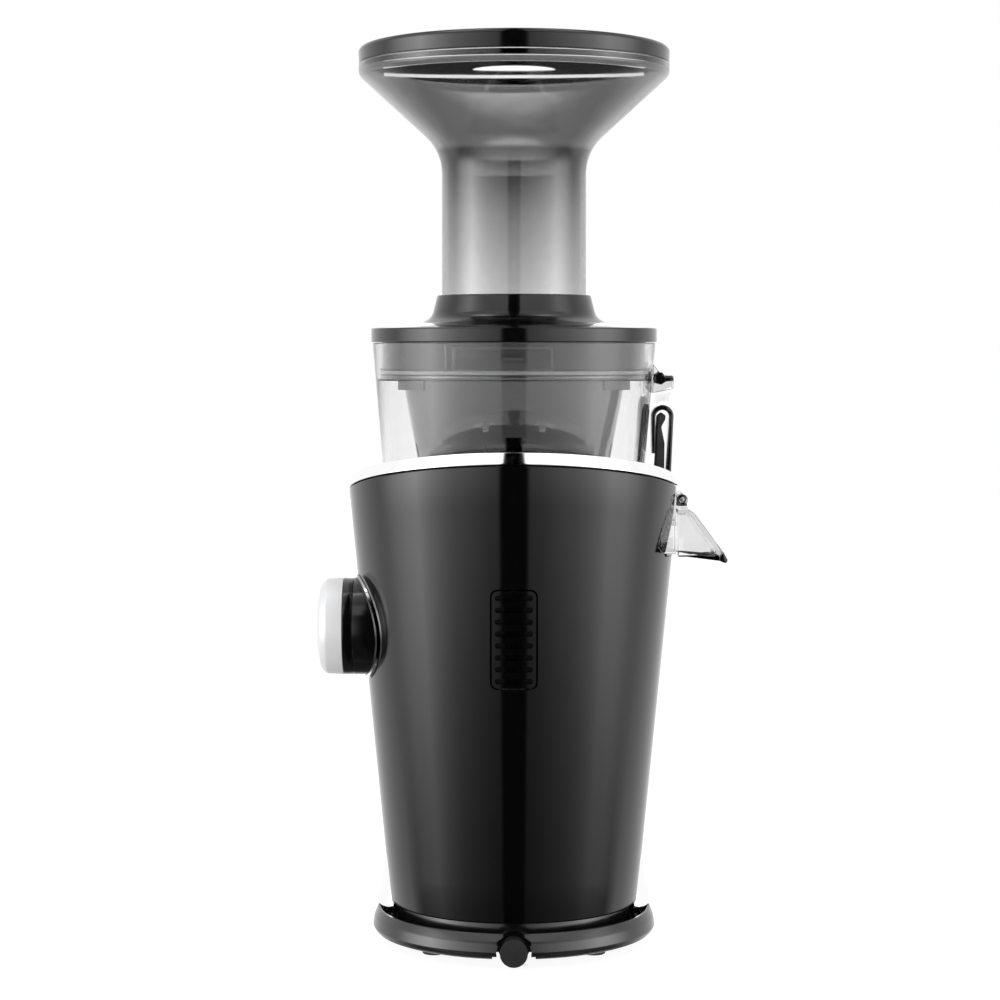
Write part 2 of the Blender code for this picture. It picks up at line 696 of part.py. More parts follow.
def make_chamber():
    """The clear juicing chamber with its juice spout, pulp duct and lever ears."""
    inner_top = chamber_r(CHAMBER_TOP) - CHAMBER_WALL
    section = [
        (10.2, CHAMBER_UNDER), (22.8, CHAMBER_UNDER), (22.8, DECK_FLOOR + GAP), (25.2, DECK_FLOOR + GAP),
        (25.2, CHAMBER_UNDER), (chamber_r(CHAMBER_UNDER), CHAMBER_UNDER), (CHAMBER_TOP_R, CHAMBER_TOP),
        (inner_top, CHAMBER_TOP), (inner_top - 0.3, LEDGE_Z), (chamber_r(LEDGE_Z) - 4.6, LEDGE_Z),
        (chamber_r(CHAMBER_FLOOR) - CHAMBER_WALL, CHAMBER_FLOOR), (14.0, CHAMBER_FLOOR), (12.6, 228.0),
        (10.2, 228.0),
    ]
    chamber = turned("chamber", section, clear_smoke())
    smoke = clear_smoke()
    duct = block("guide_duct", (DUCT_END, -DUCT_HALF, 194.6), (-36, DUCT_HALF, 212.0), smoke)
    plate = block("guide_hood_plate", (DUCT_END, -12.8, 208.0), (-79.4, 12.8, 224.0), smoke)
    shelf = [
        (-69.8, 275.5), (-80.0, 277.5), (-80.4, 278.3), (-80.4, 283.6), (-79.8, 284.4),
        (-75.0, 284.6), (-72.4, 287.0), (-70.6, 290.0),
    ]
    bracket = extruded("guide_lever_bracket", shelf, -8.0, 8.0, smoke, "Y")
    spout = round_bar("guide_spout", (0, SPOUT_Z), SPOUT_R, SPOUT_END, -63.4, smoke, "Y", MEDIUM)
    join(chamber, duct, plate, bracket, spout)
    for name, side in (("left", -1), ("right", 1)):
        low, high = sorted((side * 8.4, side * 11.2))
        ear = [(-63.6, 219.0), (-76.0, 222.0), (-77.0, 228.0), (-74.0, 232.0), (-64.8, 236.0)]
        join(chamber, extruded(f"guide_lever_ear_{name}", ear, low, high, smoke, "Y"))
        low, high = sorted((side * 4.4, side * 6.8))
        ear = [(-92.0, 232.0), (-102.4, 232.0), (-102.8, 239.0), (-101.4, 241.0), (-98.4, 241.0)]
        join(chamber, extruded(f"guide_cap_ear_{name}", ear, low, high, smoke, "X"))
    cut(chamber, block("guide_duct_bore", (-100, -13.4, 197.0), (-38.5, 13.4, 208.8), smoke))
    cut(chamber, block("guide_pulp_hole", (-52, -9, 202), (-40, 9, 220), smoke))
    cut(chamber, round_bar("guide_spout_bore", (0, SPOUT_Z), SPOUT_BORE, -110, -52, smoke, "Y", MEDIUM))
    pin_places = (
        ("lever", (LEVER_PIVOT_X, LEVER_PIVOT_Z), "Y", 13.0),
        ("cap", (CAP_PIVOT_Y, CAP_PIVOT_Z), "X", 8.0),
    )
    for name, centre, axis, reach in pin_places:
        cut(chamber, round_bar(f"guide_{name}_pin_bore", centre, 1.7, -reach, reach, smoke, axis))
        round_bar(f"{name}_pin", centre, 1.3, 2.0 - reach, reach - 2.0, steel(), axis)


def make_chamber_small_parts():
    """The silicone sleeve in the floor, and the hood's hinge block with its pin."""
    section = [(9.0, 211.4), (9.9, 211.4), (9.9, 228.3), (12.4, 228.3), (12.4, 229.3), (9.0, 229.3)]
    turned("chamber_seal", section, silicone(), steps=MEDIUM)
    block_outline = [(-82.0, 218.8), (-86.7, 218.8), (-86.7, 220.4), (-86.3, 221.0)]
    block_outline += arc((HOOD_PIVOT_X, HOOD_PIVOT_Z + 0.6), 2.3, math.pi, 0.0, 6)
    block_outline += [(-82.0, 221.0)]
    hinge = extruded("hood_hinge_block", block_outline, -12.6, 12.6, satin_black(), "Y")
    centre = (HOOD_PIVOT_X, HOOD_PIVOT_Z)
    cut(hinge, round_bar("guide_hood_pin_bore", centre, 1.5, -14, 14, steel(), "Y"))
    round_bar("hood_pin", centre, 1.2, -15.6, 15.6, steel(), "Y")


def make_strainers():
    """Two slotted cups, one inside the other; the outer one hangs by its flange."""
    def cup(offset, low, high):
        return [(strainer_r(low) - offset, low), (strainer_r(high) - offset, high)]

    low = STRAINER_BOTTOM
    wall = STRAINER_WALL
    flange = LEDGE_Z + GAP
    top = flange + wall
    section = [
        (30.0, low), (strainer_r(low), low), (strainer_r(flange), flange), (68.0, flange), (68.0, top),
        (strainer_r(top) - wall, top), (strainer_r(low + wall) - wall, low + wall), (30.0, low + wall),
    ]
    outer = turned("outer_strainer", section, dark_smoke())
    inner_low = low + wall + GAP
    inside = cup(wall + 0.4, inner_low, 280.0)
    inner_section = inside + [(x - wall, z) for x, z in reversed(inside)]
    inner = turned("inner_strainer", inner_section, finish("tinted", (0.28, 0.3, 0.32), 0.2))
    for place in range(STRAINER_SLOTS):
        angle = TAU * (place + 0.5) / STRAINER_SLOTS
        slot = block(f"guide_slot_{place}", (38.0, -1.4, 222.0), (66.0, 1.4, 250.0), dark_smoke())
        slot.rotation_euler.z = angle
        cut(outer, slot)
        shifted = block(f"guide_inner_slot_{place}", (30.0, -0.8, 226.0), (66.0, 0.8, 262.0), dark_smoke())
        shifted.rotation_euler.z = angle + 0.1
        cut(inner, shifted)
    hole = block("guide_strainer_pulp_hole", (-42.0, -9.0, 210.0), (-32.0, 9.0, 220.0), dark_smoke())
    cut(outer, hole)


def make_auger():
    """A tapered core with one helical flight, and a socket that slips over the shaft."""
    low = 230.0
    high = 292.0
    turns = 2.25
    levels = 26
    flight_half = 0.32
    columns = [(-flight_half - 0.16, 0.0), (-flight_half, 1.0), (flight_half, 1.0), (flight_half + 0.16, 0.0)]
    rest = 7
    for place in range(1, rest):
        columns.append((flight_half + 0.16 + (TAU - 2 * flight_half - 0.32) * place / rest, 0.0))
    points = []
    faces = []
    for level in range(levels + 1):
        part = level / levels
        height = low + (high - low) * part
        core = 33.0 - 17.0 * part
        reach = min(strainer_r(height) - 2 * STRAINER_WALL - 1.2, 60.0 - 26.0 * max(0.0, part - 0.75) / 0.25)
        fade = min(1.0, part / 0.06, (1 - part) / 0.1)
        for angle, lift in columns:
            radius = core + (reach - core) * lift * fade
            turn = angle + TAU * turns * part
            points.append((radius * math.cos(turn), radius * math.sin(turn), height))
    count = len(columns)
    for level in range(levels):
        for place in range(count):
            following = (place + 1) % count
            here = level * count
            faces.append([here + place, here + following, here + count + following, here + count + place])
    faces.append(list(range(count))[::-1])
    faces.append(list(range(levels * count, (levels + 1) * count)))
    auger = build("auger", points, faces, auger_plastic())
    section = [(0, 221.5), (36.0, 221.5), (36.5, 226.0), (33.5, 232.0), (0, 232.0)]
    join(auger, turned("guide_auger_foot", section, auger_plastic(), steps=MEDIUM))
    section = [(0, 290.0), (16.4, 290.0), (9.0, 296.0), (5.0, 299.0), (5.0, 306.5), (0, 306.5)]
    join(auger, turned("guide_auger_neck", section, auger_plastic(), steps=MEDIUM))
    cut(auger, round_bar("guide_auger_bore", (0, 0), 14.5, 210, 230.5, auger_plastic(), steps=MEDIUM))
    hexagon = arc((0, 0), 8.3, 0.0, TAU * 5 / 6, 6)
    cut(auger, extruded("guide_auger_socket", hexagon, 225.0, SHAFT_TOP + 1.0, auger_plastic()))


def make_juice_cap():
    """The flap that closes the juice spout, with its seal."""
    disc = round_bar("juice_cap", (0, SPOUT_Z), 10.6, -107.6, -105.2, satin_black(), "Y", MEDIUM)
    arm = [
        (-107.6, 231.0), (-107.9, 240.0), (-104.5, 242.0), (-99.0, 241.6), (-97.0, 239.6),
        (-97.2, 236.8), (-99.0, 235.6), (-103.6, 235.6), (-105.2, 233.4),
    ]
    join(disc, extruded("guide_cap_arm", arm, -3.9, 3.9, satin_black(), "X"))
    centre = (CAP_PIVOT_Y, CAP_PIVOT_Z)
    cut(disc, round_bar("guide_cap_arm_bore", centre, 1.7, -9, 9, satin_black(), "X"))
    seal = round_bar("juice_cap_seal", (0, SPOUT_Z), 8.2, -104.9, SPOUT_END - GAP, silicone(), "Y", MEDIUM)
    hang([disc, seal], "juice_cap_axis", (0, CAP_PIVOT_Y, CAP_PIVOT_Z))


def hang(pieces, name, point):
    """Parent pieces to an empty on their joint's axis, and keep them where they are."""
    pivot = bpy.data.objects.new(name, None)
    pivot.location = Vector(point) * MM
    bpy.context.collection.objects.link(pivot)
    for piece in pieces:
        piece.parent = pivot
        piece.location = piece.location - pivot.location


def make_pulp_hood():
    """The clear hood over the pulp outlet: a roof and two side walls, open below."""
    outside = [
        (-82.3, 217.0), (-87.6, 217.0), (-90.4, 215.6), (-92.2, 213.4), (-105.6, 195.2), (-107.6, 191.6),
        (-106.6, 190.2), (-104.4, 190.6), (-102.0, 193.4), (-82.3, 193.4),
    ]
    hood = extruded("pulp_hood", outside, -DUCT_HALF, DUCT_HALF, clear_smoke(), "Y")
    inside = [(-80.0, 214.8), (-87.0, 214.8), (-89.4, 213.0), (-101.6, 196.6), (-101.6, 185.0), (-80.0, 185.0)]
    cut(hood, extruded("guide_hood_inside", inside, -13.8, 13.8, clear_smoke(), "Y"))
    for name, side in (("left", -1), ("right", 1)):
        low, high = sorted((side * 13.2, side * 15.9))
        ear = [(-87.4, 216.0), (-83.0, 216.0)]
        ear += arc((HOOD_PIVOT_X, HOOD_PIVOT_Z), 2.9, -0.6, math.pi + 0.6, 8)
        join(hood, extruded(f"guide_hood_ear_{name}", ear, low, high, clear_smoke(), "Y"))
    cut(hood, round_bar("guide_hood_ear_bore", (HOOD_PIVOT_X, HOOD_PIVOT_Z), 1.5, -20, 20, steel(), "Y"))
    hang([hood], "pulp_hood_axis", (HOOD_PIVOT_X, 0, HOOD_PIVOT_Z))


def make_side_lever():
    """An arched strap with a softer pad inside it, turning on a pin low on the chamber."""
    arch = arc((-74.9, 259.4), 5.6, 0.0, math.pi, 10)
    inner = arc((-74.9, 259.0), 3.5, math.pi, 0.0, 8)
    strap = [(-69.6, 245.0)] + arch + [(-79.2, 232.5), (-76.0, 226.0), (-71.0, 225.4), (-70.0, 229.0)]
    strap += [(-70.6, 232.0), (-76.6, 232.6)] + inner + [(-71.4, 245.0)]
    lever = extruded("side_lever", strap, -7.6, 7.6, satin_black(), "Y")
    centre = (LEVER_PIVOT_X, LEVER_PIVOT_Z)
    cut(lever, round_bar("guide_lever_bore", centre, 1.7, -12, 12, steel(), "Y"))
    pad = [
        (-75.9, 233.6), (-76.1, 250.0), (-74.4, 254.0), (-76.4, 257.6), (-76.6, 259.6), (-74.6, 261.2),
        (-72.4, 259.4), (-71.8, 252.0), (-71.8, 247.0), (-71.0, 233.0),
    ]
    soft = extruded("lever_pad", pad, -6.2, 6.2, rubber(), "Y")
    hang([lever, soft], "side_lever_axis", (LEVER_PIVOT_X, 0, LEVER_PIVOT_Z))


def make_lid():
    """The black lid: a skirt in the chamber, a flat ring, and a collar round the feed tube."""
    section = [
        (64.6, 287.2), (66.8, 287.2), (66.8, LID_BOTTOM), (LID_R, LID_BOTTOM), (LID_R, 307.6),
        (71.8, 308.4), (47.0, 310.6), (41.6, 314.0), (38.8, COLLAR_TOP), (TUBE_R + 0.4, COLLAR_TOP),
        (TUBE_R + 0.4, 312.0), (31.4, 312.0), (31.4, 304.6), (64.6, 304.6),
    ]
    lid = turned("lid", section, satin_black())
    join(lid, block("guide_lid_bridge", (-33.0, -3.6, 305.0), (33.0, 3.6, 311.0), satin_black()))
    join(lid, round_bar("guide_lid_boss", (0, 0), 8.2, 300.5, 311.4, satin_black(), steps=MEDIUM))
    cut(lid, round_bar("guide_lid_bore", (0, 0), 5.4, 299.0, 307.4, satin_black(), steps=MEDIUM))
    lug = [(66.0, 291.5), (68.0, 291.5), (68.0, 295.5), (66.0, 295.5)]
    for place in range(3):
        start = math.radians(66 + 120 * place)
        join(lid, turned(f"guide_lid_lug_{place}", lug, satin_black(), 4, start, math.radians(28)))
    section = [(62.0, 285.0), (68.2, 285.0), (68.2, 286.9), (62.0, 286.9)]
    turned("lid_seal", section, silicone())


def make_hopper():
    """The smoked feed tube and funnel, one piece, with the tray and the rim on top."""
    outer = [
        (TUBE_R, 312.3), (TUBE_R, 385.0), (38.4, 396.6), (44.0, 403.8), (76.1, 433.0),
        (RIM_R, 436.6), (RIM_R, RIM_BOTTOM - GAP),
    ]
    inner = [
        (RIM_R - 2.8, RIM_BOTTOM - GAP), (RIM_R - 2.8, 438.0), (74.0, 435.0), (41.8, 405.8),
        (35.6, 397.6), (TUBE_R - TUBE_WALL, 385.0), (TUBE_R - TUBE_WALL, 312.3),
    ]
    turned("hopper", outer + inner, dark_smoke())
    section = [(FEED_HOLE_R, 438.5), (75.4, 438.5), (75.4, 440.2), (FEED_HOLE_R, 439.4)]
    tray = turned("hopper_tray", section, satin_black())
    join(tray, block("guide_tray_rib", (-68.3, -22.9, 436.9), (68.3, -21.7, 439.0), satin_black()))

    def rim_section(angle):
        """The rim's top falls a little towards the front."""
        top = RIM_TOP - RIM_TILT * RIM_R * (1 - math.sin(angle))
        return [
            (75.9, RIM_BOTTOM), (RIM_R, RIM_BOTTOM), (RIM_R + 0.1, top - 0.8), (RIM_R - 0.7, top),
            (RIM_R - 2.2, top), (75.6, top - 0.8),
        ]

    turned("hopper_rim", rim_section, satin_black())


def main():
    clear_scene()
    make_base_ring()
    make_bottom_cover()
    make_feet()
    make_cover_screws()
    make_cord_block()
    make_cord_gland()
    make_front_apron()
    make_body_shell()
    make_vent_grille()
    make_trim_ring()
    make_top_deck()
    make_shaft_seal()
    make_motor()
    make_gear_train()
    make_drive_shaft()
    make_gearbox()
    make_fan()
    make_electrics()
    make_knob()
    make_chamber()
    make_chamber_small_parts()
    make_strainers()
    make_auger()
    make_juice_cap()
    make_pulp_hood()
    make_side_lever()
    make_lid()
    make_hopper()


main()
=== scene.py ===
"""Looks of the vertical slow juicer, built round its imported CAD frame.

The auger's axis is Z, the juice spout points to -Y, the pulp outlet to -X and the switch knob to +X.
The camera stands at +Y, behind the juicer. Lengths are in millimetres until a mesh is made.
"""
import json
import math

import bmesh
import bpy
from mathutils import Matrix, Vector

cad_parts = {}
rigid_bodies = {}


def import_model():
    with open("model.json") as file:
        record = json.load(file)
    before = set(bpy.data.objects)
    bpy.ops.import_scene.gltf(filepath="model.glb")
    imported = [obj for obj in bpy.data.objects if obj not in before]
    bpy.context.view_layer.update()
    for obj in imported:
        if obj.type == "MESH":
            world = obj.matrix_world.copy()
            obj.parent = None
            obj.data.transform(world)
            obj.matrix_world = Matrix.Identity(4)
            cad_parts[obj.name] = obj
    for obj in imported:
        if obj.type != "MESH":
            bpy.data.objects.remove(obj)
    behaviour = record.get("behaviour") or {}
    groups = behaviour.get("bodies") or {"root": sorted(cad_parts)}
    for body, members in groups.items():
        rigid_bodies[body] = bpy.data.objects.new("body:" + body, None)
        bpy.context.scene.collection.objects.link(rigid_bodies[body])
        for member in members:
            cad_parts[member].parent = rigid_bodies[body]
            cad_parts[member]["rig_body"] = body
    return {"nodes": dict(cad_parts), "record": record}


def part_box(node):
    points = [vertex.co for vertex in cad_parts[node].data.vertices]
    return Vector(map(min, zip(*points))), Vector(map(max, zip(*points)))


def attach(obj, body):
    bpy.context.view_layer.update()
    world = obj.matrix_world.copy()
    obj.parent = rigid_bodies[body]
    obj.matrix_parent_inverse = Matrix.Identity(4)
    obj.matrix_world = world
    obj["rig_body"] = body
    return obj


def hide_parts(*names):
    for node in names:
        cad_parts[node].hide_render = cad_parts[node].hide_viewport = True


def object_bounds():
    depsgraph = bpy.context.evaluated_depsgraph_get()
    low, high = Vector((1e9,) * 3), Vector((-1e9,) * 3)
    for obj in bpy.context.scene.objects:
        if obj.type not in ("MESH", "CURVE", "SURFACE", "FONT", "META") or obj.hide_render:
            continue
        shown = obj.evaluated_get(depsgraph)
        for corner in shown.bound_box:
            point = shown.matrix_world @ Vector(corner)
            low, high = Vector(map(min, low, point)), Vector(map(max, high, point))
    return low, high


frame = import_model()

MM = 0.001
TAU = 2 * math.pi
SHARP_ANGLE = math.radians(32)
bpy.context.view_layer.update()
SLOTS = {part["node"]: part["material_slot"] for part in frame["record"]["subparts"]}


def span(node, axis):
    """Lowest and highest coordinate of a CAD node along an axis, in millimetres."""
    place = "XYZ".index(axis)
    return tuple(corner[place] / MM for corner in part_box(node))


def centre_of(node, axis):
    """Middle of a CAD node along an axis, in millimetres."""
    return sum(span(node, axis)) / 2


# Motor body: a cone cut off by a plane that falls towards the front.
SHELL_BASE_R = 61.4
SHELL_GROWTH = 0.0975
SHELL_WALL = 2.5
SHELL_LEVELS = 12
SHELL_BOTTOM = span("body_shell", "Z")[0]
SLANT_HEIGHT = 225.0
SLANT_SLOPE = 0.2035
TRIM_HEIGHT = 6.0
TRIM_INNER_R = 75.5
NOTCH_HALF_TOP = span("pulp_hood", "Y")[1] + 5.0
NOTCH_HALF_BOTTOM = 30.0
NOTCH_BOTTOM = 193.8
NOTCH_TOP = 260.0
GLAND_Z = centre_of("cord_gland", "Z")
VENT_Z = centre_of("vent_grille", "Z")
VENT_WIDTH = span("vent_grille", "X")[1] * 2
VENT_HEIGHT = span("vent_grille", "Z")[1] * 2 - VENT_Z * 2
VENT_SLOTS = 8
VENT_PITCH = 5.8
VENT_SLOT = (18.4, 2.6)
KNOB_Y = centre_of("knob_cap", "Y")
KNOB_Z = centre_of("knob_cap", "Z")
KNOB_R = span("knob_cap", "Z")[1] - KNOB_Z
KNOB_BACK = span("knob_collar", "X")[1] + 0.3
KNOB_FACE = span("knob_cap", "X")[1]

# Juicing chamber and what hangs on it.
DECK_FLOOR = 189.0
WELL_R = 70.8
WELL_WALL_R = 73.0
WELL_UNDER = 186.0
CHAMBER_FLOOR = 214.2
CHAMBER_UNDER = 211.0
CHAMBER_TOP = span("chamber", "Z")[1]
CHAMBER_TOP_R = span("chamber", "X")[1]
CHAMBER_TAPER = 0.0833
CHAMBER_WALL = 3.0
LEDGE_Z = span("outer_strainer", "Z")[1] - 2.3
SPOUT_Z = centre_of("juice_cap_seal", "Z")
CAP_PIVOT = (-100.0, centre_of("cap_pin", "Z"))
HOOD_PIVOT = tuple(centre_of("hood_pin", axis) for axis in "XZ")
PIN_BORE_R = 1.7
HOOD_BORE_R = 1.5
LEVER_PIVOT = tuple(centre_of("lever_pin", axis) for axis in "XZ")
STRAINER_R = 56.8
STRAINER_TAPER = 0.193
STRAINER_TOP = 282.0
STRAINER_BOTTOM = span("outer_strainer", "Z")[0]
STRAINER_WALL = 2.0
STRAINER_SLOTS = 12
AUGER_TOP = span("auger", "Z")[1]
LUG_MIDDLE = math.radians(85)
LUG_SWEEP = math.radians(42)

# Lid and hopper.
LID_R = span("lid", "X")[1]
LID_BOTTOM = 301.0
COLLAR_TOP = span("lid", "Z")[1]
TUBE_R = 36.4
TUBE_WALL = 2.8
TUBE_BOTTOM = span("hopper", "Z")[0]
FUNNEL_Z = 396.9
FUNNEL_SLOPE = 0.91
RIM_R = span("hopper", "X")[1]
RIM_BOTTOM, RIM_TOP = span("hopper_rim", "Z")
RIM_TILT = 0.02
FEED_HOLE_R = 21.1
TRAY_R = 75.4
TRAY_BOTTOM = 438.5

# Camera and studio.
CAMERA_PLACE = (0.0, 1319.0, 297.0)
CAMERA_AIM = (7.1, 0.0, 221.0)
CAMERA_LENS = 93.6
LAMP_AIM = (0.0, 0.0, 0.2)
FLOOR_R = 4000.0
FLOOR_DEPTH = 30.0


def fillet(corners, steps=4):
    """Round an outline's corners. A corner is (a, b), or (a, b, radius) where it is round."""
    outline = []
    for place, corner in enumerate(corners):
        point = Vector(corner[:2])
        radius = corner[2] if len(corner) > 2 else 0.0
        if not radius:
            outline.append(tuple(point))
            continue
        back = Vector(corners[place - 1][:2]) - point
        ahead = Vector(corners[(place + 1) % len(corners)][:2]) - point
        reach = min(radius / math.tan(back.angle(ahead) / 2), back.length * 0.48, ahead.length * 0.48)
        start = point + back.normalized() * reach
        end = point + ahead.normalized() * reach
        for step in range(steps + 1):
            part = step / steps
            spot = start * (1 - part) ** 2 + point * 2 * part * (1 - part) + end * part ** 2
            outline.append(tuple(spot))
    return outline


def arc(centre, radius, start, end, count):
    """Points along a circle, both ends included."""
    step = (end - start) / (count - 1)
    angles = [start + step * place for place in range(count)]
    return [(centre[0] + radius * math.cos(a), centre[1] + radius * math.sin(a)) for a in angles]


def rounded_rectangle(centre, width, height, radius):
    half_w, half_h = width / 2, height / 2
    corners = ((half_w, half_h), (-half_w, half_h), (-half_w, -half_h), (half_w, -half_h))
    return fillet([(centre[0] + a, centre[1] + b, radius) for a, b in corners], steps=6)


def along(axis, across, up, depth):
    """Turn a point of a flat outline, and its depth, into a point in space."""
    if axis == "X":
        return (depth, across, up)
    if axis == "Y":
        return (across, depth, up)
    return (across, up, depth)


def build(name, points, faces):
    """Make one closed mesh object from points in millimetres."""
    mesh = bpy.data.meshes.new(name)
    mesh.from_pydata([Vector(point) * MM for point in points], [], faces)
    work = bmesh.new()
    work.from_mesh(mesh)
    bmesh.ops.recalc_face_normals(work, faces=work.faces)
    work.to_mesh(mesh)
    work.free()
    made = bpy.data.objects.new(name, mesh)
    bpy.context.collection.objects.link(made)
    return made


def turned(name, section, steps=128, start=0.0, sweep=TAU, axis="Z", centre=(0.0, 0.0)):
    """Turn a closed (radius, height) outline, or a function of the angle that gives one.

    The centre is where the axis lies. A radius of 0 lies on the axis. A whole turn starts half a
    step round, so that no column of points lies where bores and notches are cut.
    """
    whole = abs(sweep - TAU) < 1e-9
    columns = steps if whole else steps + 1
    start += sweep / steps / 2 if whole else 0.0
    points = []
    poles = {}
    index = []
    for column in range(columns):
        angle = start + sweep * column / steps
        row = []
        for place, (radius, height) in enumerate(section(angle) if callable(section) else section):
            if radius == 0 and place in poles:
                row.append(poles[place])
                continue
            if radius == 0:
                poles[place] = len(points)
            row.append(len(points))
            across = centre[0] + radius * math.cos(angle)
            up = centre[1] + radius * math.sin(angle)
            points.append(along(axis, across, up, height))
        index.append(row)
    faces = []
    for column in range(steps):
        here = index[column]
        after = index[(column + 1) % columns]
        for place in range(len(here)):
            following = (place + 1) % len(here)
            corners = (here[place], here[following], after[following], after[place])
            face = list(dict.fromkeys(corners))
            if len(face) > 2:
                faces.append(face)
    if not whole:
        faces.append(index[0])
        faces.append(index[-1][::-1])
    return build(name, points, faces)


def inset(outline, amount):
    """Move a flat outline's points inwards."""
    count = len(outline)
    spots = [Vector(point) for point in outline]
    area = sum(spots[i - 1].x * spots[i].y - spots[i].x * spots[i - 1].y for i in range(count))
    side = 1 if area > 0 else -1
    moved = []
    for place, spot in enumerate(spots):
        before = (spot - spots[place - 1]).normalized()
        after = (spots[(place + 1) % count] - spot).normalized()
        normals = Vector((-before.y, before.x)) + Vector((-after.y, after.x))
        shift = normals / max(0.6, 1 + before.dot(after))
        moved.append(tuple(spot + shift * side * amount))
    return moved


def loft(name, points, count):
    """A closed solid through rings of so many points each, with a flat face at both ends."""
    last = len(points) - count
    faces = [list(range(count))[::-1], list(range(last, last + count))]
    for here in range(0, last, count):
        for place in range(count):
            following = (place + 1) % count
            faces.append([here + place, here + following, here + following + count, here + place + count])
    return build(name, points, faces)


def prism(name, outline, low, high, axis="Z", rounding=0.5):
    """Push a flat outline from one depth to another, with round rims."""
    bends = 3
    levels = [(0.0, low), (0.0, high)]
    if rounding:
        turns = [TAU / 4 * bend / bends for bend in range(bends + 1)]
        ease = [(rounding * (1 - math.sin(turn)), rounding * (1 - math.cos(turn))) for turn in turns]
        levels = [(inwards, low + depth) for inwards, depth in ease]
        levels += [(inwards, high - depth) for inwards, depth in reversed(ease)]
    points = []
    for inwards, depth in levels:
        ring = inset(outline, inwards) if inwards else outline
        points += [along(axis, a, b, depth) for a, b in ring]
    return loft(name, points, len(outline))


def block(name, low, high, rounding=0.0):
    """A box from its lowest to its highest corner."""
    outline = [(low[0], low[1]), (high[0], low[1]), (high[0], high[1]), (low[0], high[1])]
    return prism(name, outline, low[2], high[2], "Z", rounding)


def bar(name, centre, radius, low, high, axis="Z", steps=48, rounding=0.0):
    """A round bar, its axis through the given pair of coordinates."""
    outline = arc(centre, radius, 0.0, TAU * (steps - 1) / steps, steps)
    return prism(name, outline, low, high, axis, rounding)


def band(name, inner_r, outer_r, low, high, middle, sweep, steps=24, rounding=0.3):
    """A curved bar: part of a turn of a rounded rectangle."""
    corners = [(inner_r, low, rounding), (outer_r, low, rounding)]
    corners += [(outer_r, high, rounding), (inner_r, high, rounding)]
    return turned(name, fillet(corners, 3), steps, middle - sweep / 2, sweep)


def groove(name, path, radius, sides=8):
    """An open round bar along a path, used as a cutting tool."""
    points = []
    for place, spot in enumerate(path):
        ahead = Vector(path[min(place + 1, len(path) - 1)]) - Vector(path[max(place - 1, 0)])
        across = ahead.cross(Vector((spot[0], spot[1], 0.0))).normalized()
        up = across.cross(ahead).normalized()
        for side in range(sides):
            angle = TAU * side / sides
            points.append(Vector(spot) + (across * math.cos(angle) + up * math.sin(angle)) * radius)
    return loft(name, points, sides)


def ring_of_slots(name, outline, low, high, axis, count, start=0.0):
    """Cutting tools spaced evenly round Z, each an outline pushed from one depth to another."""
    slots = []
    for place in range(count):
        slot = prism(f"{name}_{place}", outline, low, high, axis, 0)
        slot.rotation_euler.z = TAU * (place + 0.5) / count + start
        slots.append(slot)
    bpy.context.view_layer.update()
    return slots


def sided(side, near, far):
    """A pair of depths on one side of the middle plane, the lower one first."""
    return sorted((side * near, side * far))


def combine(target, tools, operation):
    """Cut, join or trim the target with tools, bake the result, and remove the tools."""
    for tool in tools:
        modifier = target.modifiers.new(tool.name, "BOOLEAN")
        modifier.operation = operation
        modifier.solver = "EXACT"
        modifier.object = tool
    graph = bpy.context.evaluated_depsgraph_get()
    solid = bpy.data.meshes.new_from_object(target.evaluated_get(graph))
    target.modifiers.clear()
    target.data = solid
    for tool in tools:
        bpy.data.objects.remove(tool, do_unlink=True)


def cut(target, *tools):
    combine(target, tools, "DIFFERENCE")


def join(target, *tools):
    combine(target, tools, "UNION")


def trim(target, *tools):
    combine(target, tools, "INTERSECT")


def gather(pieces):
    """Put the meshes of several pieces into the first one."""
    first = pieces[0]
    work = bmesh.new()
    for piece in pieces:
        work.from_mesh(piece.data)
    work.to_mesh(first.data)
    work.free()
    for piece in pieces[1:]:
        bpy.data.objects.remove(piece, do_unlink=True)
    return first


def dress(piece, look, *nodes, body=None):
    """Give a piece its look, let it ride on its body, and hide the CAD nodes it stands for."""
    piece.data.shade_smooth()
    piece.data.set_sharp_from_angle(angle=SHARP_ANGLE)
    piece.data.materials.clear()
    piece.data.materials.append(LOOKS[look])
    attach(piece, body or frame["nodes"][nodes[0]]["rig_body"])
    if nodes:
        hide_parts(*nodes)
    return piece


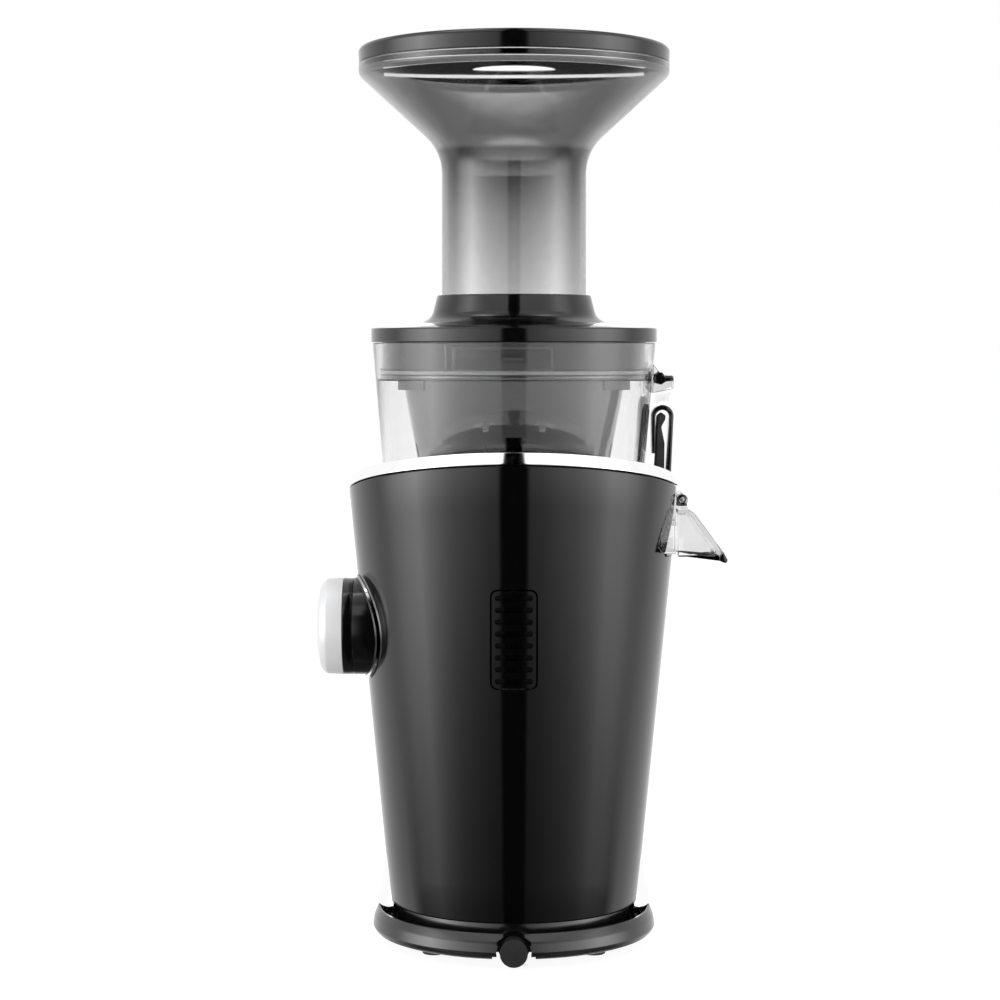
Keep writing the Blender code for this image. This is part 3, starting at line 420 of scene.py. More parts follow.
class Look:
    """A Principled material that grows by layers of noise at a real scale, in millimetres."""

    def __init__(self, name, color, roughness, metallic=0.0, **sockets):
        self.material = bpy.data.materials.new(name)
        self.material.use_nodes = True
        self.tree = self.material.node_tree
        self.shader = self.tree.nodes["Principled BSDF"]
        self.color = (*color, 1.0)
        self.shader.inputs["Base Color"].default_value = self.color
        self.shader.inputs["Roughness"].default_value = roughness
        self.shader.inputs["Metallic"].default_value = metallic
        for socket, value in sockets.items():
            self.shader.inputs[socket.replace("_", " ")].default_value = value

    def node(self, kind, **values):
        made = self.tree.nodes.new(kind)
        for name, value in values.items():
            setattr(made, name, value)
        return made

    def link(self, source, target):
        self.tree.links.new(source, target)

    def coordinates(self, stretch=(1, 1, 1)):
        """The piece's own coordinates, squeezed along each axis."""
        source = self.node("ShaderNodeTexCoord")
        scale = self.node("ShaderNodeMapping")
        scale.inputs["Scale"].default_value = stretch
        self.link(source.outputs["Object"], scale.inputs["Vector"])
        return scale.outputs["Vector"]

    def noise(self, size, detail=3.0, stretch=(1, 1, 1)):
        made = self.node("ShaderNodeTexNoise")
        made.inputs["Scale"].default_value = 1 / (size * MM)
        made.inputs["Detail"].default_value = detail
        self.link(self.coordinates(stretch), made.inputs["Vector"])
        return made.outputs["Fac"]

    def spots(self, size, stretch=(1, 1, 1)):
        """Distance from the nearest of many scattered points, 0 at each point."""
        made = self.node("ShaderNodeTexVoronoi")
        made.inputs["Scale"].default_value = 1 / (size * MM)
        self.link(self.coordinates(stretch), made.inputs["Vector"])
        return made.outputs["Distance"]

    def bands(self, pitch, distortion=0.0):
        """Waves along Z, one every pitch."""
        made = self.node("ShaderNodeTexWave", bands_direction="Z")
        made.inputs["Scale"].default_value = TAU / 20 / (pitch * MM)
        made.inputs["Distortion"].default_value = distortion
        self.link(self.coordinates(), made.inputs["Vector"])
        return made.outputs["Fac"]

    def height(self, low, high):
        """0 at one height of the piece and 1 at another."""
        split = self.node("ShaderNodeSeparateXYZ")
        self.link(self.coordinates(), split.inputs["Vector"])
        return self.spread(split.outputs["Z"], 0.0, 1.0, low * MM, high * MM)

    def spread(self, factor, low, high, start=0.3, end=0.7):
        made = self.node("ShaderNodeMapRange")
        values = {"From Min": start, "From Max": end, "To Min": low, "To Max": high}
        for socket, value in values.items():
            made.inputs[socket].default_value = value
        self.link(factor, made.inputs["Value"])
        return made.outputs["Result"]

    def layers(self, rough, stain, relief):
        """Three layers of noise: uneven gloss, stains and relief. Each begins with its size."""
        self.roughen(self.noise(rough[0]), *rough[1:])
        self.tint(self.noise(*stain[:2]), *stain[2:])
        self.emboss(self.noise(relief[0]), relief[1])
        return self.material

    def roughen(self, factor, low, high):
        self.link(self.spread(factor, low, high), self.shader.inputs["Roughness"])

    def tint(self, factor, other, start=0.3, end=0.7):
        """Mix the colour so far with another one."""
        mix = self.node("ShaderNodeMix", data_type="RGBA")
        self.link(self.spread(factor, 0.0, 1.0, start, end), mix.inputs["Factor"])
        target = self.shader.inputs["Base Color"]
        mix.inputs["A"].default_value = self.color
        if target.is_linked:
            self.link(target.links[0].from_socket, mix.inputs["A"])
        mix.inputs["B"].default_value = (*other, 1.0)
        self.link(mix.outputs["Result"], target)

    def grade(self, factor, stops):
        """Colour by a ramp of (place, grey value) stops."""
        ramp = self.node("ShaderNodeValToRGB")
        fill_ramp(ramp.color_ramp, stops)
        self.link(factor, ramp.inputs["Fac"])
        self.link(ramp.outputs["Color"], self.shader.inputs["Base Color"])

    def emboss(self, factor, depth, strength=1.0):
        """Add a layer of relief, depth in millimetres, on top of the relief so far."""
        bump = self.node("ShaderNodeBump")
        bump.inputs["Distance"].default_value = depth * MM
        bump.inputs["Strength"].default_value = strength
        self.link(factor, bump.inputs["Height"])
        target = self.shader.inputs["Normal"]
        if target.is_linked:
            self.link(target.links[0].from_socket, bump.inputs["Normal"])
        self.link(bump.outputs["Normal"], target)

    def absorb(self, color, density):
        """Darken light by its way through the material, per metre."""
        volume = self.node("ShaderNodeVolumeAbsorption")
        volume.inputs["Color"].default_value = (*color, 1.0)
        volume.inputs["Density"].default_value = density
        output = self.tree.nodes["Material Output"]
        self.link(volume.outputs["Volume"], output.inputs["Volume"])


def fill_ramp(ramp, stops):
    """Fill a colour ramp with (place, grey value) stops."""
    while len(ramp.elements) > 1:
        ramp.elements.remove(ramp.elements[-1])
    ramp.elements[0].position = stops[0][0]
    ramp.elements[0].color = (stops[0][1],) * 3 + (1.0,)
    for place, value in stops[1:]:
        ramp.elements.new(place).color = (value,) * 3 + (1.0,)


def gloss_black():
    look = Look("gloss_black", (0.0015, 0.0015, 0.0016), 0.07)
    look.roughen(look.noise(28.0), 0.055, 0.085)
    look.tint(look.noise(1.4, 6.0), (0.003, 0.003, 0.0032), 0.55, 0.8)
    look.emboss(look.noise(14.0, 1.0), 0.004)
    look.emboss(look.noise(0.35), 0.0004)
    return look.material


def satin_black(name="satin_black", color=(0.012, 0.012, 0.0125), low=0.19, high=0.26):
    look = Look(name, color, 0.22)
    look.roughen(look.noise(18.0), low, high)
    look.tint(look.noise(2.2, 5.0), tuple(channel * 1.7 for channel in color), 0.5, 0.8)
    look.emboss(look.noise(0.28, 2.0), 0.003)
    return look.material


def tray_black():
    """A dull black, so that the tray's underside doesn't mirror the funnel at a glancing view."""
    look = Look("tray_black", (0.003, 0.003, 0.003), 0.55, Specular_IOR_Level=0.0)
    return look.layers((9.0, 0.5, 0.65), (3.0, 5.0, (0.006, 0.006, 0.006)), (0.4, 0.004))


def base_grey():
    look = Look("base_grey", (0.004, 0.004, 0.0042), 0.17, IOR=1.6)
    look.roughen(look.noise(12.0), 0.13, 0.2)
    look.tint(look.noise(1.8, 5.0), (0.008, 0.008, 0.0085), 0.45, 0.8)
    look.emboss(look.spots(0.5), 0.003, 0.7)
    return look.material


def silver(name="silver", low=0.05, high=0.08, metallic=1.0, grey=0.9):
    look = Look(name, (grey, grey, grey * 1.01), 0.2, metallic)
    look.roughen(look.noise(10.0), low, high)
    look.tint(look.spots(0.18), (grey + 0.06, grey + 0.06, grey + 0.07), 0.0, 0.25)
    look.emboss(look.noise(0.2), 0.0012)
    return look.material


def clear_smoke():
    look = Look("clear_smoke", (0.93, 0.93, 0.935), 0.03, Transmission_Weight=1.0, IOR=1.5)
    look.roughen(look.noise(14.0), 0.015, 0.05)
    look.emboss(look.noise(16.0, 1.0), 0.02)
    look.absorb((0.12, 0.12, 0.13), 16.0)
    return look.material


def dark_smoke():
    """The hopper's smoked tint with painted shade: the colour darkens up the feed tube and is deepest under
    the funnel, standing in for shade from a darker backdrop behind the upper tube; it is lighter down the
    feed tube and lighter again from the funnel up.
    """
    look = Look("dark_smoke", (0.6, 0.6, 0.6), 0.04, Transmission_Weight=1.0, IOR=1.5)
    low, high = TUBE_BOTTOM + 12.0, FUNNEL_Z + 1.5
    stops = (
        (0.0, 0.86), (0.25, 0.73), (0.55, 0.56), (0.72, 0.4), (0.88, 0.22), (0.975, 0.14), (1.0, 0.5),
    )
    look.grade(look.height(low, high), stops)
    look.roughen(look.noise(14.0), 0.02, 0.06)
    look.emboss(look.noise(18.0, 1.0), 0.02)
    look.absorb((0.02, 0.02, 0.02), 85.0)
    return look.material


def strainer_smoke():
    look = Look("strainer_smoke", (0.004, 0.004, 0.004), 0.1, Transmission_Weight=0.06, IOR=1.85)
    return look.layers((8.0, 0.04, 0.07), (5.0, 3.0, (0.008, 0.008, 0.0082)), (0.6, 0.001))


def rubber(name="rubber", color=(0.02, 0.02, 0.02)):
    look = Look(name, color, 0.75)
    return look.layers((6.0, 0.62, 0.86), (3.0, 5.0, tuple(channel * 2 for channel in color)), (0.3, 0.01))


def painted_glow_rib():
    """A pale moulding with painted light: it glows though it is no lamp, standing in for a bright line under
    the tray.
    """
    glow = {"Emission_Color": (1.0, 1.0, 1.0, 1.0), "Emission_Strength": 2.2}
    look = Look("painted_glow_rib", (0.9, 0.9, 0.9), 0.3, **glow)
    return look.layers((3.0, 0.25, 0.4), (5.0, 3.0, (0.8, 0.8, 0.82)), (0.5, 0.004))


def lug_clear():
    """A half-clear grey moulding, so that small shapes on the clear chamber show."""
    look = Look("lug_clear", (0.1, 0.1, 0.105), 0.12, Transmission_Weight=0.4, IOR=1.5)
    return look.layers((4.0, 0.08, 0.18), (6.0, 3.0, (0.14, 0.14, 0.145)), (1.0, 0.004))


def silicone():
    look = Look("silicone", (0.36, 0.36, 0.37), 0.5, Subsurface_Weight=0.3, Subsurface_Scale=0.002)
    return look.layers((5.0, 0.42, 0.62), (4.0, 3.0, (0.46, 0.46, 0.47)), (0.4, 0.006))


def steel():
    look = Look("steel", (0.6, 0.6, 0.62), 0.3, 1.0)
    look.roughen(look.noise(1.2, 4.0, (1, 1, 12)), 0.2, 0.42)
    look.tint(look.noise(6.0), (0.5, 0.5, 0.52))
    look.emboss(look.noise(0.5, 3.0, (1, 1, 20)), 0.004)
    return look.material


def laminated_steel():
    look = Look("laminated_steel", (0.42, 0.42, 0.44), 0.45, 1.0)
    look.tint(look.bands(0.65), (0.12, 0.12, 0.13), 0.35, 0.65)
    look.emboss(look.bands(0.65), 0.05)
    look.roughen(look.noise(2.0), 0.35, 0.6)
    return look.material


def zinc():
    look = Look("zinc", (0.5, 0.51, 0.52), 0.45, 1.0)
    look.roughen(look.noise(4.0), 0.38, 0.58)
    look.tint(look.noise(9.0), (0.38, 0.39, 0.4))
    look.emboss(look.noise(0.7, 4.0), 0.03)
    return look.material


def copper():
    look = Look("copper", (0.72, 0.33, 0.16), 0.3, 1.0)
    look.tint(look.bands(0.7, 1.5), (0.32, 0.12, 0.05), 0.2, 0.6)
    look.emboss(look.bands(0.7, 1.5), 0.2)
    look.roughen(look.noise(2.0), 0.22, 0.4)
    return look.material


def bronze():
    look = Look("bronze", (0.55, 0.36, 0.16), 0.42, 1.0)
    look.roughen(look.noise(1.0), 0.3, 0.55)
    look.tint(look.spots(0.5), (0.25, 0.15, 0.06), 0.25, 0.0)
    look.emboss(look.spots(0.5), 0.02)
    return look.material


def gear_plastic():
    look = Look("gear_plastic", (0.8, 0.78, 0.7), 0.42, Subsurface_Weight=0.2, Subsurface_Scale=0.002)
    return look.layers((3.0, 0.34, 0.52), (12.0, 3.0, (0.72, 0.7, 0.6)), (0.5, 0.006))


def board_green():
    look = Look("board_green", (0.02, 0.16, 0.07), 0.35)
    look.tint(look.spots(3.0, (0, 1, 1)), (0.05, 0.3, 0.12), 0.55, 0.6)
    look.tint(look.noise(2.5, 0.0, (0, 1, 6)), (0.62, 0.55, 0.4), 0.68, 0.7)
    look.roughen(look.noise(4.0), 0.28, 0.5)
    look.emboss(look.spots(3.0, (0, 1, 1)), 0.05)
    return look.material


def auger_plastic():
    look = Look("auger_plastic", (0.035, 0.035, 0.038), 0.34)
    return look.layers((7.0, 0.27, 0.42), (2.0, 5.0, (0.055, 0.055, 0.06), 0.4, 0.8), (0.4, 0.006))


LOOKS = {
    "gloss_black": gloss_black(),
    "satin_black": satin_black(),
    "lid_black": satin_black("lid_black", (0.002, 0.002, 0.0021), 0.07, 0.1),
    "base_grey": base_grey(),
    "silver": silver(),
    "satin_silver": silver("satin_silver", 0.36, 0.46, 0.25, 0.68),
    "tray_black": tray_black(),
    "clear_smoke": clear_smoke(),
    # smoked tint with painted shade, darker up the feed tube towards the funnel
    "dark_smoke": dark_smoke(),
    "strainer_smoke": strainer_smoke(),
    # painted light: the rib under the tray glows though it is no lamp
    "painted_glow_rib": painted_glow_rib(),
    "lug_clear": lug_clear(),
    "rubber": rubber(),
    "black_rubber": rubber("black_rubber", (0.003, 0.003, 0.003)),
    "silicone": silicone(),
    "steel": steel(),
    "laminated_steel": laminated_steel(),
    "zinc": zinc(),
    "copper": copper(),
    "bronze": bronze(),
    "gear_plastic": gear_plastic(),
    "board_green": board_green(),
    "auger_plastic": auger_plastic(),
}


def dress_kept_nodes():
    """Every CAD node gets its slot's material; most of the hidden inner ones show as they are."""
    for node, piece in frame["nodes"].items():
        look = "laminated_steel" if node == "stator_core" else SLOTS[node]
        piece.data.materials.clear()
        piece.data.materials.append(LOOKS[look])


def shell_r(height):
    """Outer radius of the motor body at a height."""
    return SHELL_BASE_R + SHELL_GROWTH * height


def slant(radius, angle):
    """Height of the slanted rim plane at a place."""
    return SLANT_HEIGHT + SLANT_SLOPE * radius * math.sin(angle)


def cone_meets_slant(offset, angle):
    """Radius and height at which the body's cone, moved in or out, meets the rim plane."""
    rise = SLANT_SLOPE * math.sin(angle)
    height = (SLANT_HEIGHT + rise * (SHELL_BASE_R + offset)) / (1 - rise * SHELL_GROWTH)
    return shell_r(height) + offset, height


def chamber_r(height):
    """Outer radius of the juicing chamber at a height."""
    return CHAMBER_TOP_R - (CHAMBER_TOP - height) * CHAMBER_TAPER


def strainer_r(height):
    """Outer radius of the outer strainer at a height."""
    return STRAINER_R - (STRAINER_TOP - height) * STRAINER_TAPER


def body_cone(name, offset, low, high):
    """A solid cone that follows the body's outside at an offset, used as a cutting tool."""
    section = [(0, low), (shell_r(low) + offset, low), (shell_r(high) + offset, high), (0, high)]
    return turned(name, section, steps=160)


def make_shell():
    """The glossy body, open at the top, with its notch, knob bore, vent window and seams."""
    def section(angle):
        top_r, top_z = cone_meets_slant(0.0, angle)
        inner_r, inner_z = cone_meets_slant(-SHELL_WALL, angle)
        levels = range(1, SHELL_LEVELS)
        heights = [SHELL_BOTTOM + (top_z - SHELL_BOTTOM) * level / SHELL_LEVELS for level in levels]
        outline = [(shell_r(SHELL_BOTTOM), SHELL_BOTTOM, 0.9)]
        outline += [(shell_r(height), height) for height in heights]
        outline += [(top_r, top_z, 0.8), (inner_r, inner_z, 0.5)]
        outline += [(shell_r(SHELL_BOTTOM) - SHELL_WALL, SHELL_BOTTOM, 0.5)]
        return fillet(outline)

    shell = turned("shell_skin", section, steps=192)
    notch = fillet([
        (-NOTCH_HALF_BOTTOM, NOTCH_BOTTOM, 3.0), (NOTCH_HALF_BOTTOM, NOTCH_BOTTOM, 3.0),
        (NOTCH_HALF_TOP, 215.0, 8.0), (NOTCH_HALF_TOP, NOTCH_TOP), (-NOTCH_HALF_TOP, NOTCH_TOP),
        (-NOTCH_HALF_TOP, 215.0, 8.0),
    ])
    vent = rounded_rectangle((0, VENT_Z), VENT_WIDTH + 1.7, VENT_HEIGHT + 1.7, 4.2)
    cut(
        shell, prism("notch_tool", notch, -100, -50, "X", 0),
        bar("bore_tool", (KNOB_Y, KNOB_Z), 5.0, 60, 90, "X"),
        prism("vent_tool", vent, 50, 95, "Y", 0),
    )
    for side in (-1, 1):
        upright = [(36.6, 203.0), (36.8, 199.8), (36.4, 196.8)]
        hook = [(36.4, 199.6), (34.0, 197.6), (30.0, 196.0), (25.0, 195.0)]
        for place, (path, radius) in enumerate(((upright, 0.55), (hook, 0.7))):
            spots = [(-math.sqrt(shell_r(z) ** 2 - y ** 2), side * y, z) for y, z in path]
            cut(shell, groove(f"seam_tool_{place}", spots, radius))
    dress(shell, "gloss_black", "body_shell")


def make_vent():
    """The louvred plate in its groove, and a slanted blade behind each slot."""
    low, high = VENT_Z - VENT_HEIGHT / 2 - 2, VENT_Z + VENT_HEIGHT / 2 + 2
    section = [
        (shell_r(low) - 0.1, low), (shell_r(high) - 0.1, high), (shell_r(high) - 2.4, high),
        (shell_r(low) - 2.4, low),
    ]
    half = math.radians(12)
    grille = turned("vent_plate", section, 24, TAU / 4 - half, 2 * half)
    outline = rounded_rectangle((0, VENT_Z), VENT_WIDTH, VENT_HEIGHT, 3.4)
    trim(grille, prism("vent_outline_tool", outline, 50, 95, "Y", 0))
    middles = [VENT_Z + (place - (VENT_SLOTS - 1) / 2) * VENT_PITCH for place in range(VENT_SLOTS)]
    tools = []
    for place, middle in enumerate(middles):
        slot = rounded_rectangle((0, middle), *VENT_SLOT, 1.2)
        tools.append(prism(f"louvre_tool_{place}", slot, 60, 90, "Y", 0))
    cut(grille, *tools)
    dress(grille, "gloss_black", "vent_grille")
    half_width = VENT_SLOT[0] / 2
    blades = []
    for place, middle in enumerate(middles):
        face = shell_r(middle) - 0.9
        slope = [
            (face - 1.8, middle - 1.9), (face - 1.2, middle - 1.9), (face, middle + 1.1),
            (face - 0.8, middle + 1.5),
        ]
        blades.append(prism(f"vent_blade_{place}", slope, -half_width, half_width, "X", 0.15))
    dress(gather(blades), "gloss_black", body="motor_body")


def make_trim_ring():
    """The polished rim on the body, open where the pulp outlet passes."""
    def section(angle):
        outer_r, outer_z = cone_meets_slant(0.9, angle)
        inner_z = slant(TRIM_INNER_R, angle)
        return fillet([
            (outer_r + 0.1, outer_z + 0.3, 0.2), (outer_r - 0.1, outer_z + 0.9, 0.3),
            (outer_r - 2.1, outer_z + TRIM_HEIGHT, 0.4), (TRIM_INNER_R, inner_z + TRIM_HEIGHT, 0.6),
            (TRIM_INNER_R, inner_z + 0.3, 0.3),
        ], 5)

    half = math.asin(NOTCH_HALF_TOP / 83.0)
    ring = turned("rim_trim", section, 176, half - math.pi, TAU - 2 * half)
    dress(ring, "silver", "trim_ring")


def make_base_ring():
    """The skirt under the body, with a gap for the cord gland at the back."""
    section = fillet([
        (66.0, 2.4, 0.5), (70.9, 2.4, 0.8), (72.0, 4.6, 1.6), (71.2, 9.4, 6.0), (69.3, 13.6, 0.5),
        (67.9, 13.6, 0.5), (67.4, 8.0, 0.4), (60.2, 8.0, 0.4), (60.2, 22.0, 0.6), (57.8, 22.0, 0.6),
        (57.8, 6.0), (66.0, 6.0),
    ])
    ring = turned("base_skirt", section, steps=160)
    slot = [(-8.4, 10.0), (-5.2, 12.0), (-5.2, 18.0), (5.2, 18.0), (5.2, 12.0), (8.4, 10.0), (8.4, 8.0)]
    slot += [(-8.4, 8.0)]
    gap = bar("gland_gap_tool", (0, GLAND_Z), 8.6, 50, 80, "Y")
    cut(ring, gap, prism("gland_slot_tool", slot, 62, 80, "Y", 0))
    dress(ring, "base_grey", "base_ring")


def make_bottom_cover():
    """The cover under the base, with a ring of vent slots and shallow grooves."""
    section = fillet([
        (0, 0.3), (15.0, 0.3), (15.6, 0.0), (16.6, 0.0), (17.2, 0.3), (44.4, 0.3), (46.0, 0, 0.3),
        (46.5, 0.6, 0.3), (67.5, 0.6, 0.4), (69.8, 1.5, 0.3), (69.8, 2.1, 0.2), (66.8, 2.1),
        (66.8, 3.5, 0.3), (0, 3.5),
    ])
    cover = turned("bottom_plate", section, steps=120)
    half = 10.6
    tools = [block("cord_pocket_tool", (-half, 51.5, -5), (half, 80, 10))]
    for place, node in enumerate(("cover_screw_1", "cover_screw_2", "cover_screw_3")):
        tools.append(bar(f"screw_tool_{place}", node_centre(node), 3.6, -5, 10))
    for place, node in enumerate(("foot_1", "foot_2", "foot_3", "foot_4")):
        tools.append(bar(f"foot_tool_{place}", node_centre(node), 3.2, -5, 10))
    slot = rounded_rectangle((31, 0), 18, 2.2, 1.1)
    tools += ring_of_slots("bottom_slot_tool", slot, -5, 10, "Z", 28)
    cut(cover, *tools)
    dress(cover, "satin_black", "bottom_cover")


def node_centre(node):
    """Middle of a CAD node, seen from above."""
    return centre_of(node, "X"), centre_of(node, "Y")


def make_feet():
    low = span("foot_1", "Z")[0]
    section = fillet([
        (0, low + 0.4), (3.4, low + 0.4, 0.3), (4.0, low, 0.3), (5.8, low, 0.6), (6.4, 0.3, 0.3),
        (2.8, 0.3), (2.8, 5.0, 0.5), (0, 5.0),
    ])
    for number in range(1, 5):
        node = f"foot_{number}"
        foot = turned(f"rubber_foot_{number}", section, steps=48, centre=node_centre(node))
        dress(foot, "rubber", node)


def make_cover_screws():
    section = fillet([
        (0, -1.3), (2.2, -1.3, 0.4), (3.3, -0.1, 0.5), (3.3, 0.3), (1.6, 0.3), (1.6, 9.2, 0.4), (0, 9.8),
    ])
    for number in range(1, 4):
        node = f"cover_screw_{number}"
        x, y = node_centre(node)
        screw = turned(f"screw_{number}", section, steps=32, centre=(x, y))
        cross = [block("recess_tool_a", (x - 1.7, y - 0.35, -3), (x + 1.7, y + 0.35, -0.2))]
        cross.append(block("recess_tool_b", (x - 0.35, y - 1.7, -3), (x + 0.35, y + 1.7, -0.2)))
        cut(screw, *cross)
        dress(screw, "steel", node)


def make_cord_block():
    """The block that holds the cord gland, with a chamfered mouth to the back."""
    low = span("cord_block", "Z")[0]
    half = 10.3
    outline = arc((0, GLAND_Z), 8.3, math.radians(-38), math.radians(218), 40)
    outline += fillet([(-half, 0.8, 0.5), (-half, low + 0.8, 0.6), (-9.4, low, 0.4)], 3)
    outline += fillet([(9.4, low, 0.4), (half, low + 0.8, 0.6), (half, 0.8, 0.5)], 3)
    piece = prism("gland_block", outline, 56.0, 70.6, "Y", 0.5)
    section = [(0, 50.0), (6.3, 50.0), (6.3, 69.2), (7.7, 70.7), (7.7, 71.5), (0, 71.5)]
    cut(piece, turned("gland_bore_tool", section, 64, axis="Y", centre=(0, GLAND_Z)))
    dress(piece, "base_grey", "cord_block")


def make_cord_gland():
    """The rubber gland, closed by a flat black disc, as nothing comes out of it in the photo."""
    inner, back = 52.5, 71.4
    section = fillet([
        (0, inner), (8.0, inner, 0.4), (8.0, 55.6, 0.4), (6.2, 55.6), (6.2, 70.3, 0.2), (6.9, 70.9, 0.2),
        (6.6, back, 0.3), (0, back),
    ])
    gland = turned("gland_sleeve", section, 64, axis="Y", centre=(0, GLAND_Z))
    dress(gland, "black_rubber", "cord_gland")


def make_front_apron():
    """The silver skirt round the front half of the body's foot; its ends melt into the body."""
    low, high = span("front_apron", "Z")
    levels, reach = 14, 0.2

    def section(angle):
        inside = max(0.0, (math.pi / 2 + reach - abs(angle - 1.5 * math.pi)) / (1.6 * reach))
        ease = min(1.0, inside) ** 0.6
        outer, inner = [], []
        for level in range(levels):
            part = level / (levels - 1)
            height = low + (high - low) * part
            flare = 6.6 * (1 - part) ** 1.6 * ease
            radius = shell_r(height) + 0.3
            face = radius - 0.7 + (0.8 + 1.3 * (1 - part ** 6)) * ease + flare
            outer.append((face, height))
            inner.append((min(max(radius, face - 1.0), face - 0.15), height))
        return outer + inner[::-1]

    apron = turned("silver_apron", section, 112, math.pi - reach, math.pi + 2 * reach)
    dress(apron, "silver", "front_apron")


def make_top_deck():
    """The well that the chamber drops into, with locating ribs and a boss round the shaft."""
    flange = 3.2

    def section(angle):
        flange_r, flange_z = cone_meets_slant(-SHELL_WALL - 0.75, angle)
        return fillet([
            (11.0, 203.5), (16.5, 203.5), (18.8, WELL_UNDER), (WELL_WALL_R, WELL_UNDER),
            (WELL_WALL_R, slant(WELL_WALL_R, angle) - flange), (flange_r, flange_z - flange, 0.4),
            (flange_r, flange_z, 0.6),
            (WELL_R, slant(WELL_R, angle), 0.8), (WELL_R, DECK_FLOOR, 2.0), (22.0, DECK_FLOOR, 2.0),
            (20.5, 207.0, 1.2), (11.0, 207.0, 0.8),
        ])

    deck = turned("deck_well", section, steps=144)
    cut(deck, block("deck_notch_tool", (-95, -17.5, DECK_FLOOR + 1.5), (-60, 17.5, 260)))
    dress(deck, "satin_black", "top_deck")
    ribs = [
        band(f"deck_rib_{place}", 30.0 + 8 * place, 31.2 + 8 * place, DECK_FLOOR - 0.5, DECK_FLOOR + 0.8,
             0.0, math.radians(250), 96)
        for place in range(4)
    ]
    dress(gather(ribs), "satin_black", body="motor_body")


def make_knob():
    """The turning switch knob, the fixed collar behind it and the thin bezel on the body."""
    split = span("knob_cap", "X")[0]
    centre = (KNOB_Y, KNOB_Z)
    section = fillet([
        (0, 59.0), (3.1, 59.0), (3.1, KNOB_BACK), (KNOB_R - 0.1, KNOB_BACK, 0.15),
        (KNOB_R, split - 0.2, 0.3), (20.0, split - 0.2), (12.0, 94.5), (0, 94.5),
    ])
    body = turned("knob_grip", section, 96, axis="X", centre=centre)
    dress(body, "lid_black", "knob_body")
    section = fillet([
        (0, 95.0), (12.5, 95.0), (22.4, split + 0.5), (22.4, split), (KNOB_R - 0.1, split, 0.3),
        (KNOB_R - 0.4, KNOB_FACE - 4.4, 2.5), (KNOB_R - 3.0, KNOB_FACE - 1.4, 2.5),
        (KNOB_R - 9.4, KNOB_FACE, 2.0), (14.6, KNOB_FACE, 0.2), (14.3, KNOB_FACE - 0.4, 0.2),
        (13.7, KNOB_FACE - 0.4, 0.2), (13.4, KNOB_FACE, 0.2), (0, KNOB_FACE - 0.2),
    ])
    cap = turned("knob_cover", section, 96, axis="X", centre=centre)
    mark = rounded_rectangle((KNOB_Y, KNOB_Z + 10.4), 1.8, 5.0, 0.8)
    cut(cap, prism("knob_mark_tool", mark, KNOB_FACE - 0.8, KNOB_FACE + 2, "X", 0))
    dress(cap, "satin_silver", "knob_cap")
    inlay = prism("knob_mark", inset(mark, 0.12), KNOB_FACE - 1.2, KNOB_FACE - 0.35, "X", 0.1)
    dress(inlay, "satin_black", body="power_knob")
    section = fillet([
        (21.6, 60.0), (KNOB_R, 60.0), (KNOB_R, KNOB_BACK - 0.25, 0.15), (21.6, KNOB_BACK - 0.25),
    ])
    collar = turned("knob_socket", section, 96, axis="X", centre=centre)
    cut(collar, body_cone("collar_saddle_tool", 0.3, 120, 200))
    dress(collar, "lid_black", "knob_collar")
    inner, outer = KNOB_R + 0.3, KNOB_R + 2.0
    section = fillet([(inner, 60.0), (outer, 60.0), (outer, 90.0), (inner, 90.0)])
    bezel = turned("knob_ring", section, 96, axis="X", centre=centre)
    trim(bezel, body_cone("bezel_outer_tool", 1.5, 120, 200))
    cut(bezel, body_cone("bezel_saddle_tool", 0.3, 110, 210))
    dress(bezel, "silver", "knob_bezel")


def chamber_section():
    """The chamber's wall, ledge, floor and the tube round the shaft."""
    inner_top = chamber_r(CHAMBER_TOP) - CHAMBER_WALL
    return fillet([
        (10.2, CHAMBER_UNDER), (22.8, CHAMBER_UNDER, 0.6), (22.8, DECK_FLOOR + 0.3),
        (25.2, DECK_FLOOR + 0.3), (25.2, CHAMBER_UNDER, 0.8), (chamber_r(CHAMBER_UNDER), CHAMBER_UNDER, 2.4),
        (CHAMBER_TOP_R, CHAMBER_TOP, 0.6), (inner_top, CHAMBER_TOP, 0.4), (inner_top - 0.3, LEDGE_Z, 0.4),
        (chamber_r(LEDGE_Z) - 4.6, LEDGE_Z, 0.5),
        (chamber_r(CHAMBER_FLOOR) - CHAMBER_WALL, CHAMBER_FLOOR, 2.0), (14.0, CHAMBER_FLOOR, 2.0),
        (12.6, 228.0, 0.5), (10.2, 228.0, 0.5),
    ])


